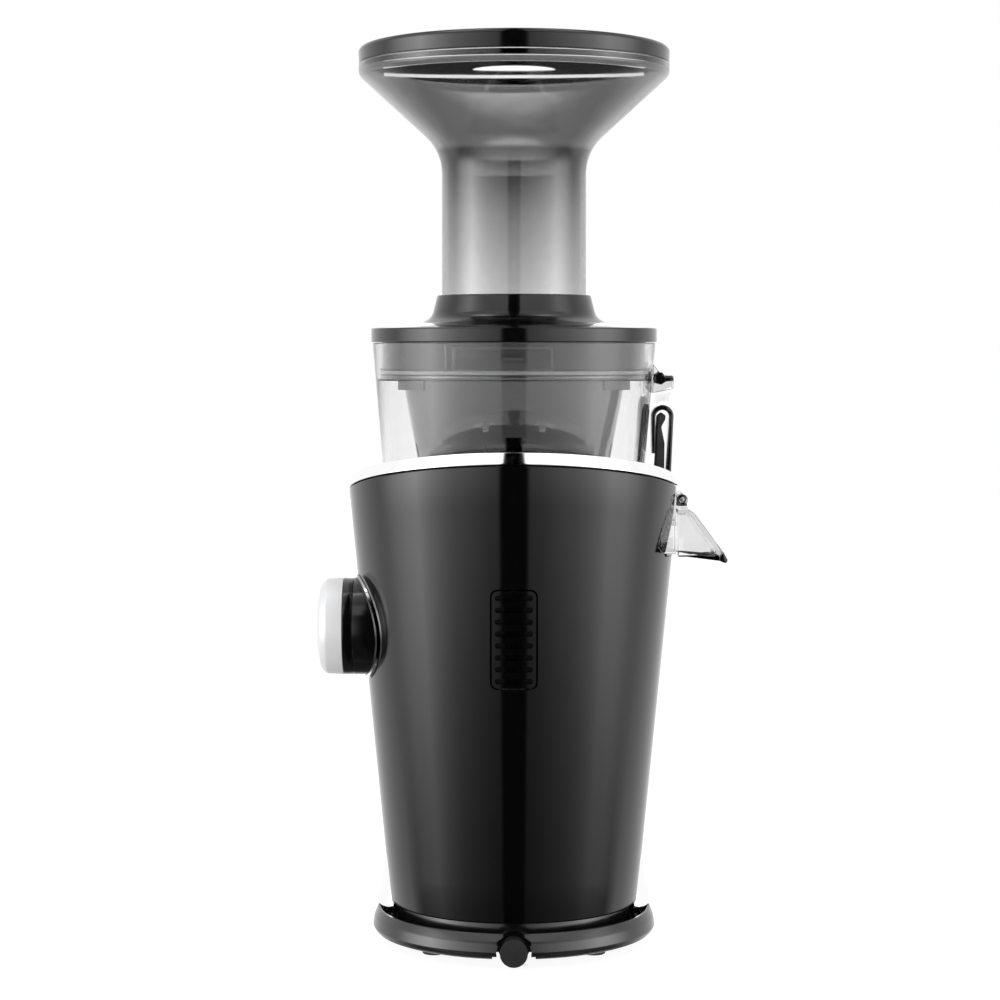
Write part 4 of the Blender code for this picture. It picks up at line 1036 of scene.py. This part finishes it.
def chamber_fittings():
    """The duct, the hood's plate, the lever's bracket and ears, the spout and the cap's ears."""
    duct_end = span("chamber", "X")[0]
    shelf = fillet([
        (-69.8, 275.5), (-80.0, 277.5, 0.6), (duct_end + 1.2, 278.3, 0.4), (duct_end + 1.2, 283.6, 0.6),
        (-79.8, 284.4, 0.4), (-75.0, 284.6, 2.0), (-72.4, 287.0, 2.0), (-70.2, 290.0),
    ])
    spout_end = span("chamber", "Y")[0]
    fittings = [
        block("duct_tool", (duct_end, -16.0, 194.6), (-36, 16.0, 212.0), 0.8),
        block("plate_tool", (duct_end, -12.8, 208.0), (-79.4, 12.8, 224.0), 0.4),
        prism("shelf_tool", shelf, -8.0, 8.0, "Y", 0.6),
        bar("spout_tool", (0, SPOUT_Z), 8.8, spout_end, -63.4, "Y", 64, 0.6),
    ]
    for side in (-1, 1):
        ear = fillet([
            (-63.6, 219.0), (-76.0, 222.0, 2.0), (-77.0, 228.0, 2.0), (-74.0, 232.0, 2.0), (-64.8, 236.0),
        ])
        fittings.append(prism(f"lever_ear_tool_{side}", ear, *sided(side, 8.4, 11.2), "Y", 0.4))
        ear = fillet([
            (-92.0, 232.0), (-102.4, 232.0), (-102.8, 239.0, 1.5), (-101.4, 241.0, 1.0), (-98.4, 241.0, 2.0),
        ])
        fittings.append(prism(f"cap_ear_tool_{side}", ear, *sided(side, 4.4, 6.8), "X", 0.3))
    return fittings


def make_chamber():
    """The clear juicing chamber with everything moulded on it."""
    chamber = turned("chamber_shell", chamber_section(), steps=144)
    join(chamber, *chamber_fittings())
    cut(
        chamber, block("duct_bore_tool", (-100, -13.4, 197.0), (-38.5, 13.4, 208.8)),
        block("pulp_hole_tool", (-52, -9, 202), (-40, 9, 220)),
        bar("spout_bore_tool", (0, SPOUT_Z), 6.6, -110, -52, "Y", 48),
        bar("lever_bore_tool", LEVER_PIVOT, PIN_BORE_R, -13, 13, "Y", 24),
        bar("cap_bore_tool", CAP_PIVOT, PIN_BORE_R, -8, 8, "X", 24),
    )
    dress(chamber, "clear_smoke", "chamber")


def make_lever_catch():
    """The dark catch on the lever's bracket, and the thin web that hangs under it."""
    outline = fillet([
        (-70.4, 281.0), (-74.0, 279.6, 0.8), (-76.4, 281.2, 0.8), (-80.4, 281.6, 0.4), (-80.4, 283.2, 0.6),
        (-76.2, 283.6, 0.8), (-74.6, 286.0, 1.0), (-72.4, 285.6, 0.8), (-70.4, 284.0, 0.5),
    ])
    plates = [
        prism(f"lever_catch_{side}", outline, *sided(side, 8.2, 9.4), "Y", 0.3) for side in (-1, 1)
    ]
    dress(gather(plates), "strainer_smoke", body="chamber_unit")
    web = fillet([(-71.2, 270.4, 0.5), (-78.4, 270.4, 1.0), (-79.2, 277.2, 0.5), (-71.2, 275.6)])
    dress(prism("lever_web", web, -1.2, 1.2, "Y", 0.3), "clear_smoke", body="chamber_unit")


def make_lock_lugs():
    """Three framed locking ramps inside the chamber's mouth, under the lid."""
    radius = chamber_r(292) - CHAMBER_WALL - 0.1
    low, high = LEDGE_Z + 4.4, CHAMBER_TOP - 2.2
    for number in range(3):
        middle = LUG_MIDDLE + TAU * number / 3
        ends = LUG_SWEEP / 2
        parts = [
            band(f"lock_lug_{number}", radius - 1.3, radius, high - 1.1, high, middle, LUG_SWEEP),
            band("lug_low", radius - 1.3, radius, low, low + 1.1, middle, LUG_SWEEP),
            band("lug_start", radius - 1.3, radius, low + 1.2, high - 1.2, middle - ends + 0.012, 0.024, 4),
            band("lug_end", radius - 1.3, radius, low + 1.2, high - 1.2, middle + ends - 0.01, 0.02, 4),
            band("lug_stop", radius - 1.5, radius, low - 0.5, high + 1.0, middle - ends - 0.05, 0.016, 4),
        ]
        dress(gather(parts), "lug_clear", body="chamber_unit")


def make_chamber_small_parts():
    """The hood's hinge block, and the three pins with domed ends."""
    x, z = HOOD_PIVOT
    outline = fillet([(-82.0, 218.8), (-86.7, 218.8, 0.5), (-86.7, 220.4, 0.8)], 3)
    outline += arc((x, z + 0.6), 2.3, math.pi, 0.0, 16)
    outline += [(-82.0, 221.0)]
    hinge = prism("hood_knuckle", outline, -12.6, 12.6, "Y", 0.4)
    cut(hinge, bar("hood_pin_tool", HOOD_PIVOT, HOOD_BORE_R, -14, 14, "Y", 24))
    dress(hinge, "lid_black", "hood_hinge_block")
    pins = (("hood_pin", HOOD_PIVOT, "Y"), ("lever_pin", LEVER_PIVOT, "Y"), ("cap_pin", CAP_PIVOT, "X"))
    for node, centre, axis in pins:
        low, high = span(node, axis)
        radius = span(node, "Z")[1] - centre[1]
        pin = bar(f"{node}_turned", centre, radius, low, high, axis, 32, 0.35)
        dress(pin, "steel", node)


def cup(offset, low, high):
    """Two points of a line that lies inside the outer strainer's outside."""
    return [(strainer_r(low) - offset, low), (strainer_r(high) - offset, high)]


def make_outer_strainer():
    """The dark outer cup, with round-ended slots and a flange on the ledge, and two tabs below the flange.
    """
    low, wall = STRAINER_BOTTOM, STRAINER_WALL
    flange = LEDGE_Z + 0.3
    top = flange + wall
    section = fillet([
        (30.0, low), (strainer_r(low), low, 0.8), (strainer_r(flange), flange, 0.8), (68.0, flange, 0.5),
        (68.0, top, 0.5), (strainer_r(top) - wall, top, 0.8),
        (strainer_r(low + wall) - wall, low + wall, 1.0), (30.0, low + wall),
    ])
    outer = turned("strainer_cup", section, steps=144)
    slot = rounded_rectangle((0, 236.0), 3.4, 28.0, 1.7)
    tools = ring_of_slots("slot_tool", slot, 38.0, 66.0, "X", STRAINER_SLOTS)
    tools.append(block("strainer_hole_tool", (-42.0, -9.0, 210.0), (-32.0, 9.0, 220.0)))
    cut(outer, *tools)
    dress(outer, "strainer_smoke", "outer_strainer")
    tabs = []
    for number, side in enumerate((-1, 1)):
        place = TAU / 4 + side * math.radians(50.6)
        tabs.append(band(f"strainer_tab_{number}", 62.9, 64.4, flange - 5.2, flange - 0.1, place, 0.3))
    dress(gather(tabs), "lug_clear", body="chamber_unit")


def make_inner_strainer():
    """The fine inner cup, with long narrow slots."""
    low = STRAINER_BOTTOM + STRAINER_WALL + 0.3
    inside = cup(STRAINER_WALL + 0.4, low, 280.0)
    section = fillet([(*point, 0.5) for point in inside + [(x - 1.9, z) for x, z in reversed(inside)]])
    inner = turned("strainer_screen", section, steps=144)
    slot = rounded_rectangle((0, 244.0), 1.4, 36.0, 0.7)
    cut(inner, *ring_of_slots("screen_tool", slot, 30.0, 66.0, "X", 2 * STRAINER_SLOTS, 0.1))
    dress(inner, "strainer_smoke", "inner_strainer")


def make_auger():
    """A tapered core with one helical flight, and a socket that slips over the shaft."""
    low, high, turns, levels, columns = 230.0, 292.0, 2.25, 150, 96
    half, soft = 0.36, 0.14

    def lift(angle):
        """1 on the flight's crest and 0 on the core, with a soft foot."""
        off = abs((angle + math.pi) % TAU - math.pi)
        return max(0.0, min(1.0, (half + soft - off) / soft))

    points = []
    for level in range(levels + 1):
        part = level / levels
        height = low + (high - low) * part
        core = 33.0 - 17.0 * part
        reach = min(strainer_r(height) - 5.4, 60.0 - 26.0 * max(0.0, part - 0.75) / 0.25)
        fade = min(1.0, part / 0.06, (1 - part) / 0.1)
        for column in range(columns):
            angle = TAU * column / columns - math.pi
            radius = core + (reach - core) * lift(angle) ** 0.7 * fade
            turn = angle + TAU * turns * part
            points.append((radius * math.cos(turn), radius * math.sin(turn), height))
    auger = loft("screw_auger", points, columns)
    foot = fillet([(0, 221.5), (36.0, 221.5, 1.0), (36.5, 226.0, 1.5), (33.5, 232.0), (0, 232.0)])
    neck = fillet([
        (0, 290.0), (16.4, 290.0), (9.0, 296.0, 4.0), (5.0, 299.0, 3.0), (5.0, AUGER_TOP, 0.8),
        (0, AUGER_TOP),
    ])
    join(auger, turned("foot_tool", foot, 96), turned("neck_tool", neck, 96))
    hexagon = arc((0, 0), 8.3, 0.0, TAU * 5 / 6, 6)
    socket = prism("socket_tool", hexagon, 225.0, 239.0, "Z", 0)
    cut(auger, bar("auger_bore_tool", (0, 0), 14.5, 210, 230.5), socket)
    dress(auger, "auger_plastic", "auger")


def make_juice_cap():
    """The flap that closes the juice spout, with its seal."""
    front, back = span("juice_cap", "Y")[0] + 0.3, -105.2
    disc = bar("spout_flap", (0, SPOUT_Z), 10.6, front, back, "Y", 64, 0.6)
    arm = fillet([
        (-107.6, 231.0), (front - 0.3, 240.0, 2.0), (-104.5, 242.0, 1.5), (-99.0, 241.6, 2.0),
        (-97.0, 239.6, 1.5), (-97.2, 236.8, 1.5), (-99.0, 235.6, 1.5), (-103.6, 235.6, 1.5),
        (-105.2, 233.4, 1.0),
    ])
    join(disc, prism("cap_arm_tool", arm, -3.9, 3.9, "X", 0.4))
    cut(disc, bar("cap_arm_bore_tool", CAP_PIVOT, PIN_BORE_R, -9, 9, "X", 24))
    dress(disc, "satin_black", "juice_cap")
    low, high = span("juice_cap_seal", "Y")
    seal = bar("spout_flap_seal", (0, SPOUT_Z), 8.2, low, high, "Y", 48, 0.4)
    dress(seal, "silicone", "juice_cap_seal")


def make_pulp_hood():
    """The clear hood over the pulp outlet: a roof and two side walls, open below."""
    outside = fillet([
        (-82.3, 217.0), (-87.6, 217.0, 1.0), (-90.4, 215.6, 1.5), (-92.2, 213.4, 2.0), (-105.6, 195.2, 3.0),
        (-107.6, 191.6, 0.8), (-106.6, 190.2, 0.6), (-104.4, 190.6, 1.5), (-102.0, 193.4, 1.5),
        (-82.3, 193.4, 0.4),
    ])
    hood = prism("hood_cover", outside, -16.0, 16.0, "Y", 0.7)
    inside = fillet([
        (-80.0, 214.8), (-87.0, 214.8, 2.0), (-89.4, 213.0, 2.0), (-101.6, 196.6, 1.5), (-101.6, 185.0),
        (-80.0, 185.0),
    ])
    ears = []
    for side in (-1, 1):
        ear = [(-87.4, 216.0), (-83.0, 216.0)] + arc(HOOD_PIVOT, 2.9, -0.6, math.pi + 0.6, 20)
        ears.append(prism(f"hood_ear_tool_{side}", ear, *sided(side, 13.2, 15.9), "Y", 0.3))
    cut(hood, prism("hood_inside_tool", inside, -13.8, 13.8, "Y", 0.6))
    join(hood, *ears)
    cut(hood, bar("hood_ear_bore_tool", HOOD_PIVOT, HOOD_BORE_R, -20, 20, "Y", 24))
    dress(hood, "clear_smoke", "pulp_hood")
    edge = [(-101.0, 193.4), (-82.6, 193.4), (-82.6, 194.1), (-101.0, 194.4)]
    lips = [prism(f"hood_lip_{side}", edge, *sided(side, 16.05, 16.6), "Y", 0.15) for side in (-1, 1)]
    tip = fillet([
        (-102.6, 191.6, 0.8), (-106.4, 190.0, 1.0), (-107.5, 191.4, 0.8), (-105.4, 195.0, 0.8),
        (-104.0, 194.6, 0.5),
    ])
    lips.append(prism("hood_tip", tip, -16.6, 16.6, "Y", 0.4))
    dress(gather(lips), "strainer_smoke", body="hood_unit")


def make_side_lever():
    """An arched strap with a softer pad inside it, turning on a pin low on the chamber.

    The arch stands taller than the CAD's by the rise, as the photo shows it.
    """
    rise = 4.4
    arch = arc((-74.9, 259.4 + rise), 5.6, 0.0, math.pi, 24)
    inner = arc((-74.9, 259.0 + rise), 3.5, math.pi, 0.0, 20)
    strap = [(-69.6, 245.0)] + arch
    strap += fillet([(-79.2, 232.5), (-76.0, 226.0, 2.0), (-71.0, 225.4, 1.5), (-70.0, 229.0, 1.0)], 4)
    strap += [(-70.6, 232.0), (-76.6, 232.6)] + inner + [(-71.4, 245.0)]
    lever = prism("lever_arch", strap, -7.6, 7.6, "Y", 0.4)
    cut(lever, bar("lever_bore_tool", LEVER_PIVOT, PIN_BORE_R, -12, 12, "Y", 24))
    dress(lever, "strainer_smoke", "side_lever")
    pad = fillet([
        (-75.9, 233.6, 0.6), (-76.1, 250.0, 3.0), (-74.4, 254.0 + rise, 3.0), (-76.4, 257.6 + rise, 2.0),
        (-76.6, 259.6 + rise, 1.0), (-74.6, 261.2 + rise, 1.0), (-72.4, 259.4 + rise, 1.5),
        (-71.8, 252.0, 3.0), (-71.8, 247.0, 2.0), (-71.0, 233.0, 0.5),
    ])
    soft = prism("lever_grip", pad, -6.2, 6.2, "Y", 0.8)
    dress(soft, "rubber", "lever_pad")


def make_lid():
    """The black lid: a skirt in the chamber, a flat ring, and a flared collar round the tube."""
    section = fillet([
        (64.6, 287.2, 0.4), (66.8, 287.2, 0.4), (66.8, LID_BOTTOM), (LID_R, LID_BOTTOM, 0.5),
        (LID_R, 308.0, 0.9), (47.0, 310.6, 6.0), (41.6, 313.6, 9.0), (38.8, COLLAR_TOP, 1.0),
        (TUBE_R + 0.4, COLLAR_TOP, 0.4), (TUBE_R + 0.4, 312.0), (31.4, 312.0), (31.4, 304.6, 0.5),
        (64.6, 304.6),
    ], 6)
    lid = turned("lid_cover", section, steps=176)
    tools = [block("bridge_tool", (-33.0, -3.6, 305.0), (33.0, 3.6, 311.0), 0.6)]
    tools.append(bar("boss_tool", (0, 0), 8.2, 300.5, 311.4, "Z", 48, 0.6))
    lug = fillet([(66.0, 291.5), (68.0, 291.5, 0.4), (68.0, 295.5, 0.4), (66.0, 295.5)])
    for place in range(3):
        tools.append(turned(f"lug_tool_{place}", lug, 12, math.radians(66 + 120 * place), math.radians(28)))
    join(lid, *tools)
    cut(lid, bar("lid_bore_tool", (0, 0), 5.4, 299.0, 307.4))
    dress(lid, "lid_black", "lid")
    low, high = span("lid_seal", "Z")
    seal = fillet([
        (62.0, low, 0.5), (68.2, low, 0.5), (68.2, high, 0.5), (65.4, high - 0.4, 0.4), (62.0, high, 0.5),
    ])
    dress(turned("lid_gasket", seal, 144), "silicone", "lid_seal")


def make_hopper():
    """The smoked feed tube and funnel in one piece."""
    inner_r = RIM_R - TUBE_WALL
    inner_z = FUNNEL_Z + 1.5
    top = RIM_BOTTOM - 0.3
    section = fillet([
        (TUBE_R, TUBE_BOTTOM, 0.4), (TUBE_R, FUNNEL_Z, 26.0),
        (RIM_R, FUNNEL_Z + (RIM_R - TUBE_R) * FUNNEL_SLOPE, 5.0), (RIM_R, top), (inner_r, top),
        (inner_r, inner_z + (inner_r - TUBE_R + TUBE_WALL) * FUNNEL_SLOPE, 5.0),
        (TUBE_R - TUBE_WALL, inner_z, 24.0), (TUBE_R - TUBE_WALL, TUBE_BOTTOM, 0.4),
    ], 10)
    dress(turned("feed_funnel", section, 192), "dark_smoke", "hopper")


def make_tray():
    """The thin tray on the funnel, with its feed hole, and a pale rib under it that glows with painted
    light.
    """
    under, high = span("hopper_tray", "Z")
    low = TRAY_BOTTOM
    section = fillet([
        (FEED_HOLE_R, low, 0.2), (TRAY_R - 1.4, low, 0.4), (TRAY_R, low + 0.6, 0.3), (TRAY_R, high, 0.4),
        (FEED_HOLE_R + 3.0, high - 0.75), (FEED_HOLE_R, high - 0.8, 0.3),
    ])
    dress(turned("food_tray", section, 144), "tray_black", "hopper_tray")
    rib = block("tray_rib", (-67.2, -22.9, under), (67.2, -21.7, low - 0.05), 0.3)
    dress(rib, "painted_glow_rib", body="lid_unit")


def make_rim():
    """The black rim, whose top falls a little towards the front."""
    def section(angle):
        top = RIM_TOP - RIM_TILT * RIM_R * (1 - math.sin(angle))
        return fillet([
            (75.9, RIM_BOTTOM), (RIM_R - 0.2, RIM_BOTTOM, 0.4), (RIM_R + 0.1, top - 1.4, 3.0),
            (RIM_R - 1.0, top, 0.9), (RIM_R - 2.4, top, 0.5), (75.6, top - 0.8, 0.5),
        ], 5)

    dress(turned("funnel_rim", section, 192), "lid_black", "hopper_rim")


def make_pieces():
    dress_kept_nodes()
    make_shell()
    make_vent()
    make_trim_ring()
    make_base_ring()
    make_bottom_cover()
    make_feet()
    make_cover_screws()
    make_cord_block()
    make_cord_gland()
    make_front_apron()
    make_top_deck()
    make_knob()
    make_chamber()
    make_lever_catch()
    make_lock_lugs()
    make_chamber_small_parts()
    make_outer_strainer()
    make_inner_strainer()
    make_auger()
    make_juice_cap()
    make_pulp_hood()
    make_side_lever()
    make_lid()
    make_hopper()
    make_tray()
    make_rim()


def make_camera():
    data = bpy.data.cameras.new("camera")
    data.lens = CAMERA_LENS
    camera = bpy.data.objects.new("camera", data)
    camera.location = Vector(CAMERA_PLACE) * MM
    aim = (Vector(CAMERA_AIM) - Vector(CAMERA_PLACE)) * MM
    camera.rotation_euler = aim.to_track_quat("-Z", "Y").to_euler()
    bpy.context.collection.objects.link(camera)
    bpy.context.scene.camera = camera


def make_floor():
    """A plain pale floor that glows a little, so that it is as pale as the backdrop."""
    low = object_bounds()[0].z / MM
    floor = bar("floor", (0, 0), FLOOR_R, low - FLOOR_DEPTH, low, steps=96)
    glow = {"Emission_Color": (1.0, 1.0, 1.0, 1.0), "Emission_Strength": 0.93}
    look = Look("floor", (0.12, 0.12, 0.12), 0.9, **glow)
    look.tint(look.noise(60.0), (0.13, 0.13, 0.13))
    floor.data.materials.append(look.material)
    floor.visible_glossy = False


# The studio as glossy surfaces see it: (degrees from the camera's side, brightness). The strips stand
# on both sides of the camera, with a dark gap between them, in front of a pale room.
STRIPS = (
    (-180, 1.0), (-112, 1.0), (-96, 1.6), (-84, 2.6), (-72, 3.1), (-58, 2.1), (-45, 1.5), (-33, 1.15),
    (-20, 0.75), (-11, 0.6), (-9.2, 0.0), (9.2, 0.0), (11, 0.65), (20, 0.85), (33, 1.25), (45, 1.7),
    (58, 2.7), (72, 4.1), (84, 3.0), (96, 1.8), (112, 1.0), (180, 1.0),
)
# How the strips fade with (degrees above the horizon, share of their brightness).
FADE = (
    (-90, 0.05), (-27, 0.14), (-22, 0.22), (-18, 0.42), (-14, 0.8), (-6, 1.3), (8, 1.4), (15, 1.0),
    (20, 0.7), (28, 0.75), (60, 1.0), (90, 1.0),
)
# How bright that room is at (degrees above the horizon), and where a window in it lights the feed hole.
ROOM_RISE = ((-90, 0.08), (-45, 0.1), (-26, 1.0), (90, 1.0))
WINDOW_TURN = ((-180, 2.6), (-177.6, 2.6), (-176.6, 0.0), (176.6, 0.0), (177.6, 2.6), (180, 2.6))
WINDOW_RISE = ((-90, 0.0), (5.0, 0.0), (5.7, 1.0), (9.5, 1.0), (11.0, 0.0), (90, 0.0))
# The even panel overhead that whitens the body's rim, with the same dark gap in it.
PANEL_TURN = ((-180, 1.35), (-10.0, 1.35), (-9.0, 0.0), (9.0, 0.0), (10.0, 1.35), (180, 1.35))
PANEL_RISE = ((-90, 0.0), (29, 0.0), (33, 1.0), (50, 1.0), (58, 0.0), (90, 0.0))
# Where the room behind the object takes over from the strips: (degrees from the camera's side, share).
ROOM = ((-180, 1.0), (-110, 1.0), (-96, 0.0), (96, 0.0), (110, 1.0), (180, 1.0))
STRIP_PEAK = 5.0
FADE_PEAK = 2.0
DIFFUSE_LIGHT = 0.8


class Sky:
    """Builds the world's nodes from small sums."""

    def __init__(self):
        world = bpy.data.worlds.new("studio")
        bpy.context.scene.world = world
        world.use_nodes = True
        world.cycles.sampling_method = "NONE"
        self.tree = world.node_tree
        self.background = self.tree.nodes["Background"]

    def math(self, operation, *values):
        made = self.tree.nodes.new("ShaderNodeMath")
        made.operation = operation
        for place, value in enumerate(values):
            if isinstance(value, (int, float)):
                made.inputs[place].default_value = value
            else:
                self.tree.links.new(value, made.inputs[place])
        return made.outputs[0]

    def curve(self, factor, stops, low, high, peak):
        """A ramp of (degrees, value) stops, read at a factor from 0 to 1."""
        ramp = self.tree.nodes.new("ShaderNodeValToRGB")
        fill_ramp(ramp.color_ramp, [((a - low) / (high - low), value / peak) for a, value in stops])
        self.tree.links.new(factor, ramp.inputs["Fac"])
        return self.math("MULTIPLY", ramp.outputs["Color"], peak)

    def blend(self, share, a, b):
        """a where the share is 0, b where it is 1."""
        kept = self.math("MULTIPLY", self.math("SUBTRACT", 1.0, share), a)
        return self.math("ADD", kept, self.math("MULTIPLY", share, b))


def make_world():
    """White for the camera, soft strips for gloss and glass, and even light for matt surfaces."""
    sky = Sky()
    nodes = sky.tree.nodes
    split = nodes.new("ShaderNodeSeparateXYZ")
    sky.tree.links.new(nodes.new("ShaderNodeTexCoord").outputs["Generated"], split.inputs["Vector"])
    x, y, z = split.outputs
    turn = sky.math("MULTIPLY_ADD", sky.math("ARCTAN2", x, y), 1 / TAU, 0.5)
    rise = sky.math("MULTIPLY_ADD", sky.math("ARCSINE", z), 2 / TAU, 0.5)
    strips = sky.curve(turn, STRIPS, -180, 180, STRIP_PEAK)
    fade = sky.curve(rise, FADE, -90, 90, FADE_PEAK)
    room = sky.curve(turn, ROOM, -180, 180, 1.0)
    panel = sky.curve(turn, PANEL_TURN, -180, 180, STRIP_PEAK)
    overhead = sky.curve(rise, PANEL_RISE, -90, 90, 1.0)
    front = sky.blend(overhead, sky.math("MULTIPLY", strips, fade), panel)
    light = sky.curve(turn, WINDOW_TURN, -180, 180, STRIP_PEAK)
    window = sky.math("MULTIPLY", light, sky.curve(rise, WINDOW_RISE, -90, 90, 1.0))
    back = sky.math("ADD", sky.curve(rise, ROOM_RISE, -90, 90, 1.0), window)
    seen = sky.blend(room, front, back)
    ray = nodes.new("ShaderNodeLightPath").outputs
    seen = sky.blend(ray["Is Camera Ray"], seen, 1.0)
    seen = sky.blend(ray["Is Diffuse Ray"], seen, DIFFUSE_LIGHT)
    sky.tree.links.new(seen, sky.background.inputs["Strength"])
    sky.background.inputs["Color"].default_value = (1.0, 1.0, 1.0, 1.0)


def make_lamp(name, place, size, power):
    """A soft lamp for matt surfaces; gloss sees the world's strips instead."""
    data = bpy.data.lights.new(name, "AREA")
    data.shape = "RECTANGLE"
    data.size, data.size_y = size
    data.energy = power
    lamp = bpy.data.objects.new(name, data)
    lamp.location = Vector(place)
    lamp.rotation_euler = (Vector(LAMP_AIM) - lamp.location).to_track_quat("-Z", "Y").to_euler()
    bpy.context.collection.objects.link(lamp)
    lamp.visible_camera = False
    lamp.visible_glossy = False
    lamp.visible_transmission = False


def make_studio():
    make_camera()
    make_floor()
    make_world()
    make_lamp("key", (1.3, 0.9, 0.9), (0.9, 1.2), 9.0)
    make_lamp("fill", (-1.4, 0.7, 0.6), (0.9, 1.2), 6.0)
    make_lamp("top", (0.0, -0.4, 1.7), (1.2, 1.2), 8.0)
    scene = bpy.context.scene
    scene.view_settings.view_transform = "Standard"
    scene.cycles.max_bounces = 24
    scene.cycles.transmission_bounces = 24
    scene.cycles.glossy_bounces = 8
    scene.cycles.diffuse_bounces = 3


make_pieces()
make_studio()
